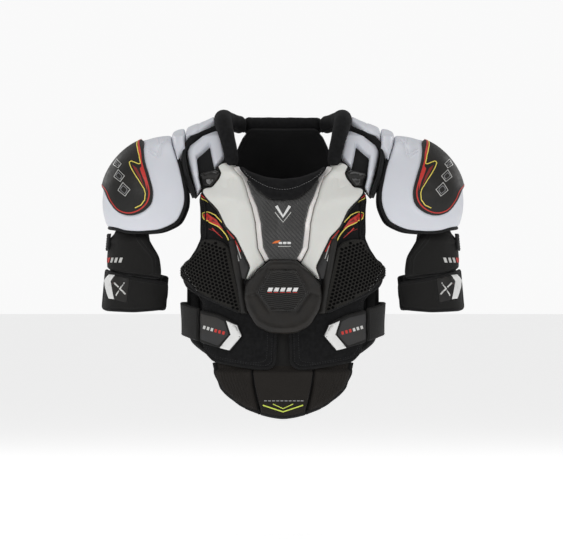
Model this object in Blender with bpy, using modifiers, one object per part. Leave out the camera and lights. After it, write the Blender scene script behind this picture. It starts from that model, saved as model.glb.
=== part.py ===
"""Hockey shoulder pads, as worn: chest and back halves, shoulder caps, biceps guards, collar and straps.

Metres, +Z up. The wearer faces -Y, and +X is the wearer's left. The origin is the midpoint between the
wearer's shoulders, where the pads hang from the body.

Every panel is laid on one smooth form of the wearer's body. A level is a height above that form, so
layers that are stacked on each other hold different levels and can't meet.
"""

import math

import bmesh
import bpy
import numpy as np
from mathutils import Vector

# Driving dimensions --------------------------------------------------------------------------------
# Torso sections: height, half width, depth to the chest, depth to the back.
TORSO = (
    (-0.440, 0.142, 0.100, 0.086),
    (-0.340, 0.145, 0.104, 0.090),
    (-0.260, 0.147, 0.109, 0.096),
    (-0.190, 0.150, 0.114, 0.105),
    (-0.130, 0.150, 0.113, 0.108),
    (-0.080, 0.146, 0.104, 0.103),
    (-0.040, 0.132, 0.089, 0.090),
    (-0.010, 0.100, 0.070, 0.075),
    (0.030, 0.064, 0.050, 0.056),
)
TORSO_POWER = 2.3  # exponent of the superellipse section
SHOULDER_IN = Vector((0.060, 0.010, -0.020))  # shoulder bone line, neck end
SHOULDER_OUT = Vector((0.185, 0.000, -0.060))  # shoulder bone line, arm end
SHOULDER_RADIUS = 0.052
SHOULDER_BLEND = 0.035  # fillet between the torso and the shoulders
ARCH_ORIGIN = (0.005, -0.080)  # y, z of the line that the shoulder arch is measured round

CAP_CENTRE = Vector((0.182, 0.000, -0.082))
CAP_RADII = (0.111, 0.088, 0.108)
CAP_APEX = Vector((0.86, -0.10, 0.50))  # direction of the middle of the cap

ARM_TOP = (0.226, -0.100)  # x, z of the upper arm's axis
ARM_END = (0.240, -0.260)
ARM_RADII = (0.040, 0.037)  # across, fore and aft

# Levels above the body form, low and high, for each layer.
LINER = (0.0003, 0.0022)
VEST = (0.0058, 0.0122)
PLATE = (0.0136, 0.0225)
MESH = (0.0146, 0.0180)
CLIP = (0.0134, 0.0210)
SPINE = (0.0134, 0.0250)
STRAP = (0.0142, 0.0188)
NECKLINE = (0.0202, 0.0280)
STERNUM_PANEL = (0.0138, 0.0190)
STERNUM_CAP = (0.0242, 0.0360)
ARCH = (0.0005, 0.0090)
CLAVICLE = (0.0117, 0.0200)
WEBBING = (0.0110, 0.0145)
SEGMENT = (0.0140, 0.0315)
COLLAR = 0.0260
BELLY = (0.0040, 0.0130)

# Levels above the cap's ellipsoid.
CAP_SHELL = (-0.0060, 0.0000)
CAP_LINER = (-0.0170, -0.0082)
CAP_INSERT = (0.0037, 0.0058)
CAP_BINDING = -0.0030
CAP_LINER_REACH = 0.80  # share of the way from the cap's middle to its rim
CAP_BINDING_REACH = 1.055

# Levels above the upper arm.
BICEPS_PAD = (0.0000, 0.0130)
BICEPS_CUFF = (0.0000, 0.0085)
BICEPS_STRAP = (0.0100, 0.0148)
CAP_LINK = (0.0142, 0.0165)

COLLAR_RADIUS = 0.014
BINDING_RADIUS = 0.0028
INSERT_THICKNESS = 0.003
INSERT_MIDDLE_Y = -0.1526
LOOP_RADIUS = 0.002

# Points inside the wearer that surfaces face away from.
INSIDE_TORSO = (0.0, 0.0, -0.2)
INSIDE_NECK = (0.12, 0.0, -0.08)
INSIDE_SHOULDER = (0.14, 0.0, -0.08)
INSIDE_ARM = (0.233, 0.0, -0.2)

COLOURS = {
    "white_shell": (0.80, 0.81, 0.84, 0.45, 0.0),
    "black_foam": (0.020, 0.020, 0.022, 0.85, 0.0),
    "black_knit": (0.030, 0.030, 0.032, 0.90, 0.0),
    "black_plastic": (0.015, 0.015, 0.016, 0.35, 0.0),
    "carbon": (0.040, 0.040, 0.042, 0.30, 0.1),
    "elastic": (0.022, 0.022, 0.022, 0.80, 0.0),
    "liner": (0.050, 0.050, 0.055, 0.95, 0.0),
}


# The body form ---------------------------------------------------------------------------------------
def torso_section(z):
    """Half width and both depths at height z."""
    heights, *sizes = (np.array(column) for column in zip(*TORSO))
    return [np.interp(z, heights, size) for size in sizes]


def section_measure(x, y, z):
    """1 on the torso's surface, less inside it and more outside."""
    width, front, back = torso_section(z)
    depth = np.where(y < 0, front, back)
    across = np.abs(x / width) ** TORSO_POWER
    along = np.abs(y / depth) ** TORSO_POWER
    return (across + along + 1e-12) ** (1 / TORSO_POWER)


def torso_distance(x, y, z, step=0.002):
    """First-order distance from the torso's surface."""
    here = section_measure(x, y, z)
    slopes = (
        section_measure(x + step, y, z) - section_measure(x - step, y, z),
        section_measure(x, y + step, z) - section_measure(x, y - step, z),
        section_measure(x, y, z + step * 3) / 3 - section_measure(x, y, z - step * 3) / 3,
    )
    steepness = np.sqrt(sum(slope**2 for slope in slopes)) / (2 * step)
    return (here - 1) / np.maximum(steepness, 1e-6)


def shoulder_distance(x, y, z):
    """Distance from the capsule round the shoulder bone line, on either side."""
    axis = SHOULDER_OUT - SHOULDER_IN
    from_in = (np.abs(x) - SHOULDER_IN.x, y - SHOULDER_IN.y, z - SHOULDER_IN.z)
    share = sum(a * b for a, b in zip(from_in, axis)) / axis.length_squared
    share = np.clip(share, 0, 1)
    offsets = [a - share * b for a, b in zip(from_in, axis)]
    return np.sqrt(sum(offset**2 for offset in offsets)) - SHOULDER_RADIUS


def body_level(x, y, z):
    """Height above the body form: a smooth union of the torso and the shoulders."""
    torso = torso_distance(x, y, z)
    shoulder = shoulder_distance(x, y, z)
    mix = np.maximum(SHOULDER_BLEND - np.abs(torso - shoulder), 0) / SHOULDER_BLEND
    return np.minimum(torso, shoulder) - mix**2 * SHOULDER_BLEND / 4


def cast(origin, direction, level, near, far):
    """Where rays leave the body form's level, found by halving between near and far."""
    near = np.full(np.shape(origin[0]), near, float)
    far = np.full(np.shape(origin[0]), far, float)
    for _ in range(22):
        middle = (near + far) / 2
        point = [o + d * middle for o, d in zip(origin, direction)]
        inside = body_level(*point) < level
        near = np.where(inside, middle, near)
        far = np.where(inside, far, middle)
    return [o + d * near for o, d in zip(origin, direction)]


# Charts: each turns two coordinates and a level into points -------------------------------------------
def round_torso(bearing, z, level):
    """A level ray out of the torso's middle line: 0 is straight ahead, 90 the left side, 180 the back."""
    turn = np.radians(bearing)
    flat = np.zeros_like(z)
    return cast((flat, flat, z), (np.sin(turn), -np.cos(turn), flat), level, 0.02, 0.30)


def bearing_of(x, z, level, back=False):
    """Bearings in degrees, for round_torso, of the points on a level that are seen at these x and z."""
    low = np.zeros_like(x)
    high = np.full_like(x, 90.0)
    for _ in range(16):
        middle = (low + high) / 2
        reached = round_torso(180 - middle if back else middle, z, level)[0]
        short = reached < np.abs(x)
        low = np.where(short, middle, low)
        high = np.where(short, high, middle)
    return 180 - np.sign(x) * low if back else np.sign(x) * low


def over_shoulder(x, angle, level):
    """Over the shoulder in the plane of that x: 0 is ahead, 90 straight up, 180 behind."""
    turn = np.radians(angle)
    origin = (x, np.full_like(x, ARCH_ORIGIN[0]), np.full_like(x, ARCH_ORIGIN[1]))
    return cast(origin, (np.zeros_like(x), -np.cos(turn), np.sin(turn)), level, 0.01, 0.30)


def round_arm(angle, z, level):
    """Round the upper arm: 0 is outward, 90 ahead, 180 toward the body."""
    turn = np.radians(angle)
    share = (z - ARM_TOP[1]) / (ARM_END[1] - ARM_TOP[1])
    centre = ARM_TOP[0] + share * (ARM_END[0] - ARM_TOP[0])
    across, along = (radius + level for radius in ARM_RADII)
    return [centre + across * np.cos(turn), -along * np.sin(turn), z]


# Building blocks ---------------------------------------------------------------------------------------
def material(name):
    """The named Principled material, made once."""
    found = bpy.data.materials.get(name)
    if found:
        return found
    red, green, blue, roughness, metallic = COLOURS[name]
    made = bpy.data.materials.new(name)
    made.use_nodes = True
    shader = made.node_tree.nodes["Principled BSDF"]
    shader.inputs["Base Color"].default_value = (red, green, blue, 1)
    shader.inputs["Roughness"].default_value = roughness
    shader.inputs["Metallic"].default_value = metallic
    return made


def add_object(name, data, finish):
    """A new object of this mesh or curve, in the pads' collection."""
    made = bpy.data.objects.new(name, data)
    data.materials.append(material(finish))
    bpy.data.collections["hockey_shoulder_pads"].objects.link(made)
    return made


def thicken(made, thickness):
    """Turns an open surface into a solid that lies under it."""
    shell = made.modifiers.new("thickness", "SOLIDIFY")
    shell.thickness = thickness
    shell.offset = -1
    shell.use_even_offset = True
    return made


def spread(ribs, along, smooth):
    """The ribs with `along` steps between each two, straight or on a smooth curve through them."""
    ribs = np.array(ribs, float)
    if along == 1:
        return ribs
    last = len(ribs) - 1
    rows = []
    for i in range(last):
        before, start, end, after = (ribs[np.clip(i + k, 0, last)] for k in (-1, 0, 1, 2))
        for k in range(along):
            t = k / along
            row = start + (end - start) * t
            if smooth:
                row = 0.5 * (
                    2 * start
                    + (end - before) * t
                    + (2 * before - 5 * start + 4 * end - after) * t**2
                    + (3 * start - before - 3 * end + after) * t**3
                )
            rows.append(row)
    rows.append(ribs[-1])
    return np.array(rows)


def surface_between(ribs, across, along=1, smooth=False):
    """Grids of the two chart coordinates, with `across` columns between the ends of each rib."""
    rows = spread(ribs, along, smooth)
    share = np.linspace(0, 1, across + 1)[None, :, None]
    grid = rows[:, None, 0, :] * (1 - share) + rows[:, None, 1, :] * share
    return grid[..., 0], grid[..., 1]


def grid_object(name, points, finish, side=1):
    """An open surface through a grid of points, facing away from the body. side -1 mirrors it."""
    x, y, z = points
    rows, columns = x.shape
    mesh = bmesh.new()
    corners = [
        [mesh.verts.new((side * x[i, j], y[i, j], z[i, j])) for j in range(columns)]
        for i in range(rows)
    ]
    for i in range(rows - 1):
        for j in range(columns - 1):
            mesh.faces.new((corners[i][j], corners[i][j + 1], corners[i + 1][j + 1], corners[i + 1][j]))
    bmesh.ops.recalc_face_normals(mesh, faces=mesh.faces)
    data = bpy.data.meshes.new(name)
    mesh.to_mesh(data)
    mesh.free()
    return add_object(name, data, finish)


def face_outward(made, inside):
    """Flips the surface if it faces the point that should be behind it."""
    face = made.data.polygons[len(made.data.polygons) // 2]
    if face.normal.dot(face.center - Vector(inside)) < 0:
        made.data.flip_normals()
    return made


def panel(name, chart, ribs, levels, finish, side=1, across=3, along=1, smooth=False, inside=INSIDE_TORSO):
    """A solid panel between two levels, whose outline is the ends of its ribs in the chart."""
    u, v = surface_between(ribs, across, along, smooth)
    made = grid_object(name, chart(u, v, levels[1]), finish, side)
    face_outward(made, (inside[0] * side, *inside[1:]))
    return thicken(made, levels[1] - levels[0])


def mm(*ribs):
    """Ribs given in millimetres."""
    return [[(a / 1000, b / 1000) for a, b in rib] for rib in ribs]


def on_torso(ribs, level, back=False):
    """Ribs as seen square on, in millimetres, turned into the bearings and heights of round_torso."""
    places = np.array(mm(*ribs))
    places[..., 0] = bearing_of(places[..., 0], places[..., 1], level, back)
    return places


def on_shoulder(ribs, level):
    """Ribs as seen square on, in millimetres, turned into the x and angle of over_shoulder."""
    places = np.array(mm(*ribs))
    x, z = places[..., 0], places[..., 1]
    low = np.full_like(x, -10.0)
    high = np.full_like(x, 90.0)
    for _ in range(16):
        middle = (low + high) / 2
        under = over_shoulder(x, middle, level)[2] < z
        low = np.where(under, middle, low)
        high = np.where(under, high, middle)
    places[..., 1] = low
    return places


def torso_panel(name, ribs, levels, finish, side=1, back=False, **steps):
    """A solid panel round the torso, whose ribs are in millimetres as seen square on."""
    panel(name, round_torso, on_torso(ribs, levels[1], back), levels, finish, side, **steps)


def both_ways(*halves):
    """Ribs that run from -x to x at the same height."""
    return [[(-x, z), (x, z)] for x, z in halves]


def tube(name, points, radius, finish, side=1, resolution=2):
    """A round tube along the points."""
    curve = bpy.data.curves.new(name, "CURVE")
    curve.dimensions = "3D"
    curve.bevel_depth = radius
    curve.bevel_resolution = resolution
    curve.use_fill_caps = True
    line = curve.splines.new("POLY")
    line.points.add(len(points) - 1)
    for slot, point in zip(line.points, points):
        slot.co = (side * point[0], point[1], point[2], 1)
    return add_object(name, curve, finish)


def smooth_line(points, steps):
    """A smooth curve through points, with `steps` stretches between each two."""
    doubled = [[point, point] for point in points]
    return [Vector(row[0]) for row in spread(doubled, steps, True)]


# Chest half ------------------------------------------------------------------------------------------
def chest_panel(side, tag):
    """Foam vest half, from the neckline to the lower flap that carries the strap's loop patch."""
    ribs = (
        ((1, -50), (97, -33)),
        ((1, -75), (125, -69)),
        ((1, -100), (130, -88)),
        ((1, -140), (131, -140)),
        ((1, -175), (151, -178)),
        ((1, -198), (166, -191)),
        ((1, -225), (166, -210)),
        ((2, -248), (148, -229)),
        ((6, -266), (129, -240)),
        ((8, -305), (127, -290)),
        ((8, -336), (122, -324)),
        ((18, -346), (110, -338)),
    )
    torso_panel("chest_panel_" + tag, ribs, VEST, "black_foam", side, across=8)


def mesh_panel(side, tag):
    """Perforated knit over the ribs."""
    ribs = (
        ((90, -150), (130, -144)),
        ((86, -172), (138, -164)),
        ((81, -198), (152, -178)),
        ((75, -228), (165, -190)),
        ((68, -260), (165, -204)),
    )
    torso_panel("mesh_panel_" + tag, ribs, MESH, "black_knit", side, across=6)


def sternum_arm(side, tag):
    """White moulded plate from the collar bone down to the sternum cap, notched for the strap clip."""
    ribs = (
        ((84, -25), (103, -29)),
        ((73, -33), (99, -38)),
        ((61, -50), (112, -61)),
        ((58, -56), (127, -63)),
        ((51, -74), (123, -71)),
        ((43, -91), (104, -97)),
        ((37, -118), (92, -122)),
        ((34, -140), (76, -141)),
        ((32, -157), (65, -163)),
        ((27, -166), (53, -187)),
        ((23, -176), (59, -207)),
    )
    torso_panel("sternum_arm_" + tag, ribs, PLATE, "white_shell", side, across=4)


def strap_clip(side, tag):
    """Moulded pentagon at the lower end of the clavicle strap."""
    ribs = (
        ((111, -33), (132, -38)),
        ((104, -40), (131, -44)),
        ((110, -50), (129, -52)),
        ((116, -58), (126, -59)),
    )
    torso_panel("strap_clip_" + tag, ribs, CLIP, "black_plastic", side, across=2)


def chest_centre():
    """The pieces on the middle of the chest: liner, carbon panel, neckline, sternum cap and insert."""
    liner = both_ways((66, -52), (98, -80), (108, -120), (110, -165), (114, -205), (108, -250))
    torso_panel("front_liner", liner, LINER, "liner", across=12)
    carbon = both_ways((53, -62), (42, -90), (35, -118), (32, -140), (30, -157), (21, -175))
    torso_panel("sternum_panel", carbon, STERNUM_PANEL, "carbon", across=4)
    half = (((30, -44), (24, -77)), ((57, -37), (46, -61)), ((70, -29), (64, -38)))
    mirrored = tuple(tuple((-x, z) for x, z in rib) for rib in reversed(half))
    neckline = mirrored + (((0, -47), (0, -80)),) + half
    torso_panel("neckline_pad", neckline, NECKLINE, "black_foam", across=2, along=2)
    shield = both_ways((21, -177), (42, -195), (61, -213), (64, -233), (60, -256), (45, -279), (24, -291))
    torso_panel("sternum_cap", shield, STERNUM_CAP, "black_plastic", across=6)
    sternum_insert()


def sternum_insert():
    """Flat hexagonal badge plate on the sternum cap."""
    outline = ((-22, -191), (22, -191), (42, -228), (21, -257), (-21, -257), (-42, -228))
    curve = bpy.data.curves.new("sternum_insert", "CURVE")
    curve.dimensions = "2D"
    curve.fill_mode = "BOTH"
    curve.extrude = INSERT_THICKNESS / 2
    line = curve.splines.new("POLY")
    line.points.add(len(outline) - 1)
    for slot, (x, z) in zip(line.points, outline):
        slot.co = (x / 1000, z / 1000, 0, 1)
    line.use_cyclic_u = True
    made = add_object("sternum_insert", curve, "black_plastic")
    made.rotation_euler = (math.pi / 2, 0, 0)
    made.location = (0, INSERT_MIDDLE_Y, 0)


def belly_tongue():
    """Thin tongue of the belly pad that is tucked behind the chest flaps."""
    ribs = both_ways((52, -254), (52, -298), (52, -342))
    torso_panel("belly_tongue", ribs, LINER, "black_knit", across=4)


def belly_pad():
    """Removable extension pad: a centre and two ribbed wings."""
    centre = both_ways((50, -351), (46, -375), (42, -400), (36, -421))
    torso_panel("belly_centre", centre, BELLY, "black_foam", across=4)
    wing = (
        ((53, -351), (113, -344)),
        ((49, -375), (106, -366)),
        ((45, -400), (90, -389)),
        ((41, -415), (64, -405)),
    )
    for side, tag in ((1, "left"), (-1, "right")):
        torso_panel("belly_wing_" + tag, wing, BELLY, "black_knit", side, across=3)


def waist_tab(side, tag):
    """Grip tab of the waist strap, hooked on the chest flap."""
    ribs = (
        ((132, -256), (132, -307)),
        ((104, -264), (106, -315)),
        ((86, -272), (90, -320)),
        ((76, -284), (78, -312)),
        ((69, -294), (70, -302)),
    )
    torso_panel("waist_tab_" + tag, ribs, STRAP, "elastic", side, across=3)


# Back half -------------------------------------------------------------------------------------------
def back_pieces():
    """Vest back, its liner, the spine plates, the lumbar pad and the hanging loop."""
    vest = both_ways(
        (56, 22), (66, 0), (76, -22), (96, -48), (115, -75), (122, -104), (126, -140), (146, -180),
        (156, -212), (156, -255), (152, -305), (118, -334),
    )
    torso_panel("back_panel", vest, VEST, "black_knit", back=True, across=14)
    liner = both_ways((60, -50), (100, -85), (112, -140), (136, -210), (134, -300))
    torso_panel("back_liner", liner, LINER, "liner", back=True, across=14)
    plates = (
        ("upper", ((30, -58), (38, -78), (36, -110))),
        ("middle", ((37, -114), (35, -150), (32, -178))),
        ("lower", ((33, -182), (30, -215), (24, -252))),
    )
    for place, halves in plates:
        torso_panel("spine_plate_" + place, both_ways(*halves), SPINE, "white_shell", back=True, across=4)
    lumbar = both_ways((92, -262), (104, -290), (92, -322))
    torso_panel("lumbar_pad", lumbar, PLATE, "black_foam", back=True, across=8)
    hang_loop()


def hang_loop():
    """Cord loop sewn behind the collar."""
    corners = [(-0.014, 0.0945, -0.014), (-0.015, 0.098, 0.000), (-0.009, 0.104, 0.012), (0, 0.106, 0.017)]
    corners += [(-x, y, z) for x, y, z in reversed(corners[:-1])]
    tube("hang_loop", smooth_line(corners, 2), LOOP_RADIUS, "elastic")


def scapula_plate(side, tag):
    """Moulded plate over the shoulder blade."""
    ribs = (
        ((44, -66), (98, -76)),
        ((46, -90), (114, -98)),
        ((45, -125), (116, -128)),
        ((42, -160), (100, -160)),
        ((40, -186), (76, -188)),
    )
    torso_panel("scapula_plate_" + tag, ribs, PLATE, "black_plastic", side, back=True, across=5)


def waist_elastic(side, tag):
    """Elastic band from the back panel's edge round the side to the grip tab."""
    front = on_torso((((138, -254), (138, -305)),), STRAP[1])
    ribs = [
        *front,
        [(74, -0.2475), (74, -0.300)],
        [(90, -0.244), (90, -0.297)],
        [(112, -0.244), (112, -0.297)],
    ]
    panel("waist_elastic_" + tag, round_torso, ribs, STRAP, "elastic", side, 2, along=2)


# Shoulders -------------------------------------------------------------------------------------------
def shoulder_arch(side, tag):
    """Foam arch over the shoulder that joins the chest half to the back half."""
    ribs = (
        ((137, 14), (149, 14)),
        ((124, 26), (153, 26)),
        ((111, 38), (156, 38)),
        ((98, 49), (158, 49)),
        ((89, 63), (159, 62)),
        ((89, 80), (160, 80)),
        ((89, 100), (160, 100)),
        ((90, 122), (158, 122)),
        ((93, 145), (152, 145)),
    )
    ribs = [[(x / 1000, angle) for x, angle in rib] for rib in ribs]
    panel("shoulder_arch_" + tag, over_shoulder, ribs, ARCH, "black_foam", side, 5, 2, True, INSIDE_NECK)


def clavicle_plate(side, tag):
    """White moulded frame in front of the shoulder, shaped like an upturned V round its strap."""
    ribs = (
        ((136, -70), (133, -68)),
        ((141, -54), (133, -54)),
        ((147, -34), (137, -38)),
        ((151, -14), (141, -17)),
        ((154, 1), (143, -5)),
        ((145, 9), (135, 3)),
        ((130, 20), (127, 10)),
        ((113, 31), (120, 15)),
        ((105, 12), (116, -1)),
        ((99, -5), (113, -14)),
        ((104, -15), (110, -19)),
    )
    ribs = on_shoulder(ribs, CLAVICLE[1])
    name = "clavicle_plate_" + tag
    panel(name, over_shoulder, ribs, CLAVICLE, "white_shell", side, 2, 2, inside=INSIDE_NECK)


def clavicle_strap(side, tag):
    """Webbing in the frame's window, which runs down to the clip on the chest half."""
    ribs = (
        ((122, 6), (125, 4)),
        ((121, -2), (137, -9)),
        ((118, -14), (135, -19)),
        ((116, -20), (133, -25)),
        ((115, -26), (132, -30)),
    )
    ribs = on_shoulder(ribs, WEBBING[1])
    name = "clavicle_strap_" + tag
    panel(name, over_shoulder, ribs, WEBBING, "elastic", side, 2, inside=INSIDE_NECK)


def arch_segment(name, side, edges):
    """One white segment of the shoulder arch, from ribs of x in millimetres and angle."""
    ribs = [[(inner / 1000, start), (outer / 1000, end)] for (inner, start), (outer, end) in edges]
    panel(name, over_shoulder, ribs, SEGMENT, "white_shell", side, 2, 2, True, INSIDE_SHOULDER)


def arch_segments(side, tag):
    """The fixed inner segment and the hinged outer one."""
    inner = (
        ((115, 77), (156, 59)),
        ((115, 85), (156, 74)),
        ((115, 97), (156, 92)),
        ((116, 112), (156, 110)),
        ((118, 127), (155, 126)),
        ((122, 143), (151, 143)),
    )
    outer = (
        ((159, 52), (166, 48)),
        ((159, 60), (173, 58)),
        ((159, 74), (177, 73)),
        ((159, 90), (178, 90)),
        ((159, 106), (177, 106)),
        ((159, 124), (172, 124)),
    )
    arch_segment("arch_segment_inner_" + tag, side, inner)
    arch_segment("arch_segment_outer_" + tag, side, outer)


def collar(side, tag):
    """Padded roll beside the neck."""
    path = ((0.080, -0.093, -0.014), (0.084, -0.085, 0.004), (0.088, -0.067, 0.026), (0.091, -0.041, 0.045))
    path += ((0.091, -0.009, 0.054), (0.085, 0.026, 0.052), (0.071, 0.056, 0.046))
    tube("collar_roll_" + tag, smooth_line(path, 2), COLLAR_RADIUS, "black_foam", side)


def collar_back():
    """Padded roll behind the neck."""
    bearing = np.linspace(140, 220, 7)
    path = np.transpose(round_torso(bearing, np.full_like(bearing, 0.045), COLLAR))
    tube("collar_back", smooth_line(path, 2), COLLAR_RADIUS, "black_foam")


# Shoulder cap ----------------------------------------------------------------------------------------
def cap_direction(x, z, way):
    """Direction from the cap's centre to its surface at that x and z. way is -1 ahead and 1 behind."""
    across = (x / 1000 - CAP_CENTRE.x) / CAP_RADII[0]
    up = (z / 1000 - CAP_CENTRE.z) / CAP_RADII[2]
    along = way * math.sqrt(max(0.0, 1 - across**2 - up**2))
    return Vector((across * CAP_RADII[0], along * CAP_RADII[1], up * CAP_RADII[2])).normalized()


def cap_point(direction, level):
    """Where that direction meets the cap's ellipsoid, grown by the level."""
    radii = [radius + level for radius in CAP_RADII]
    measure = math.sqrt(sum((part / radius) ** 2 for part, radius in zip(direction, radii)))
    return CAP_CENTRE + direction / measure


def rim_of_cap():
    """The cap's edge as directions, from the neck side down the front, under the arm and up the back."""
    front = (
        (180, 28), (178, 12), (171, -8), (163, -36), (157, -68), (159, -92), (170, -114), (194, -127),
        (224, -131), (252, -130), (271, -125),
    )
    ahead = [cap_direction(x, z, -1) for x, z in front]
    behind = [cap_direction(x, z, 1) for x, z in reversed(front[1:])]
    return [cap_direction(180, 28.5, 0), *ahead[1:], cap_direction(281, -121, 0), *behind]


def dome(name, rim, levels, finish, side, rings, reach=1.0, apex=CAP_APEX):
    """A solid cap between two levels, in rings from the apex out to a share of the way to the rim."""
    apex = apex.normalized()
    mesh = bmesh.new()
    top = cap_point(apex, levels[1])
    middle = mesh.verts.new((side * top.x, top.y, top.z))
    circles = []
    for k in range(1, rings + 1):
        points = [cap_point(apex.slerp(edge, reach * k / rings), levels[1]) for edge in rim]
        circles.append([mesh.verts.new((side * p.x, p.y, p.z)) for p in points])
    count = len(rim)
    for i in range(count):
        mesh.faces.new((middle, circles[0][i], circles[0][(i + 1) % count]))
        for near, far in zip(circles, circles[1:]):
            mesh.faces.new((near[i], far[i], far[(i + 1) % count], near[(i + 1) % count]))
    bmesh.ops.recalc_face_normals(mesh, faces=mesh.faces)
    data = bpy.data.meshes.new(name)
    mesh.to_mesh(data)
    mesh.free()
    made = add_object(name, data, finish)
    face_outward(made, (side * CAP_CENTRE.x, CAP_CENTRE.y, CAP_CENTRE.z))
    return thicken(made, levels[1] - levels[0])


def cap_pieces(side, tag):
    """Shell, foam liner, moulded insert and edge binding of one shoulder cap."""
    rim = rim_of_cap()
    dome("cap_shell_" + tag, rim, CAP_SHELL, "white_shell", side, 6)
    dome("cap_liner_" + tag, rim, CAP_LINER, "black_foam", side, 5, reach=CAP_LINER_REACH)
    leaf = (
        (224, 13, -1), (224, -2, -1), (221, -20, -1), (214, -42, -1), (208, -66, -1), (211, -86, -1),
        (225, -99, -1), (243, -104, -1), (262, -99, -1), (277, -82, -1), (286, -64, -1), (289, -55, 1),
        (283, -42, 1), (268, -22, 1), (250, -3, 1), (235, 8, 1), (229, 15, 0),
    )
    edge = [cap_direction(*point) for point in leaf]
    heart = cap_direction(252, -40, -1)
    dome("cap_insert_" + tag, edge, CAP_INSERT, "black_plastic", side, 4, apex=heart)
    apex = CAP_APEX.normalized()
    beyond = [apex.slerp(point, CAP_BINDING_REACH) for point in rim]
    line = [cap_point(direction, CAP_BINDING) for direction in beyond[2:-1]]
    tube("cap_binding_" + tag, line, BINDING_RADIUS, "black_knit", side)


# Upper arm -------------------------------------------------------------------------------------------
def arm_panel(name, ribs, levels, finish, side, across, along=1):
    """A solid panel round the upper arm, from ribs of angle and height."""
    panel(name, round_arm, ribs, levels, finish, side, across, along, inside=INSIDE_ARM)


def biceps_pieces(side, tag):
    """Upper pad, lower cuff and hanging strap of one biceps guard."""
    upper = [
        [(-100, -0.152), (100, -0.152)],
        [(-106, -0.163), (108, -0.163)],
        [(-108, -0.178), (114, -0.178)],
        [(-108, -0.180), (116, -0.1965)],
    ]
    arm_panel("biceps_pad_" + tag, upper, BICEPS_PAD, "black_foam", side, 14)
    lower = [[(-178, -0.203), (30, -0.194)], [(-178, -0.226), (30, -0.222)], [(-178, -0.252), (30, -0.250)]]
    arm_panel("biceps_cuff_" + tag, lower, BICEPS_CUFF, "black_knit", side, 13)
    link = [[(-12, -0.138), (12, -0.138)], [(-12, -0.150), (12, -0.150)], [(-11, -0.161), (13, -0.158)]]
    arm_panel("cap_link_strap_" + tag, link, CAP_LINK, "elastic", side, 2)
    wrap = [
        [(8, -0.1920), (8, -0.246)],
        [(30, -0.1945), (30, -0.249)],
        [(90, -0.2000), (90, -0.254)],
        [(150, -0.2035), (150, -0.254)],
    ]
    arm_panel("biceps_strap_" + tag, wrap, BICEPS_STRAP, "elastic", side, 2, along=3)


# The whole object ------------------------------------------------------------------------------------
SIDE_PIECES = (
    chest_panel,
    mesh_panel,
    sternum_arm,
    strap_clip,
    waist_tab,
    waist_elastic,
    scapula_plate,
    shoulder_arch,
    clavicle_plate,
    clavicle_strap,
    arch_segments,
    collar,
    cap_pieces,
    biceps_pieces,
)


def clear_scene():
    for old in list(bpy.data.objects):
        bpy.data.objects.remove(old, do_unlink=True)


def build():
    clear_scene()
    pads = bpy.data.collections.new("hockey_shoulder_pads")
    bpy.context.scene.collection.children.link(pads)
    chest_centre()
    belly_tongue()
    belly_pad()
    back_pieces()
    collar_back()
    for side, tag in ((1, "left"), (-1, "right")):
        for make in SIDE_PIECES:
            make(side, tag)


build()
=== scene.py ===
"""Looks of the hockey shoulder pads: padded cloth, moulded plates, bindings, prints, stitches and straps.

Metres, +Z up. The wearer faces -Y, and +X is the wearer's left. Panels are laid on the same smooth form
of the wearer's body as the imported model's solids, at the same levels above it. Outlines are given in
millimetres as seen square on, for the left side, and mirrored for the right.
"""

import math

import bpy
import numpy as np
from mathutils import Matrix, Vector, geometry, kdtree


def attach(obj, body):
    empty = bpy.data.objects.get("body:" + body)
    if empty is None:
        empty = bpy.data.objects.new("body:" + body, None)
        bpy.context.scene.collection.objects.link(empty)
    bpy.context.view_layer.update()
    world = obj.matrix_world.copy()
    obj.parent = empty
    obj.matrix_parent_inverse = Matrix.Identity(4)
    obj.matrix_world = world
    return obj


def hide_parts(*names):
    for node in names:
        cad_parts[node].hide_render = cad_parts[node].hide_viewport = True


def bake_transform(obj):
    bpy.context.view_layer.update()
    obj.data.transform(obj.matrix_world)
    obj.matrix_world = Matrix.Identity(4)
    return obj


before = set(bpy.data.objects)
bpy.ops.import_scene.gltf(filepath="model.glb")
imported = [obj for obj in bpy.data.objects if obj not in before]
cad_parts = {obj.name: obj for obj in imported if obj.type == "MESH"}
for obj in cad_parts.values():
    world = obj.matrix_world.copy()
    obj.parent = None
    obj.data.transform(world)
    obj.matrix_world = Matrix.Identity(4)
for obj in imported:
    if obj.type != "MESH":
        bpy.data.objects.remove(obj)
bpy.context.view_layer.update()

SIDES = ((1, "left"), (-1, "right"))

# The body form -----------------------------------------------------------------------------------------
TORSO = (
    (-0.440, 0.142, 0.100, 0.086),
    (-0.340, 0.145, 0.104, 0.090),
    (-0.260, 0.147, 0.109, 0.096),
    (-0.190, 0.150, 0.114, 0.105),
    (-0.130, 0.150, 0.113, 0.108),
    (-0.080, 0.146, 0.104, 0.103),
    (-0.040, 0.132, 0.089, 0.090),
    (-0.010, 0.100, 0.070, 0.075),
    (0.030, 0.064, 0.050, 0.056),
)  # height, half width, depth to the chest, depth to the back
TORSO_POWER = 2.3
SHOULDER_IN = Vector((0.060, 0.010, -0.020))
SHOULDER_OUT = Vector((0.185, 0.000, -0.060))
SHOULDER_RADIUS = 0.052
SHOULDER_BLEND = 0.035
ARCH_ORIGIN = (0.005, -0.080)
CAP_CENTRE = np.array((0.182, 0.000, -0.082))
CAP_RADII = np.array((0.111, 0.088, 0.108))
CAP_APEX = Vector((0.86, -0.10, 0.50)).normalized()
ARM_TOP = (0.226, -0.100)
ARM_END = (0.240, -0.260)
ARM_RADII = (0.040, 0.037)

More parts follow.
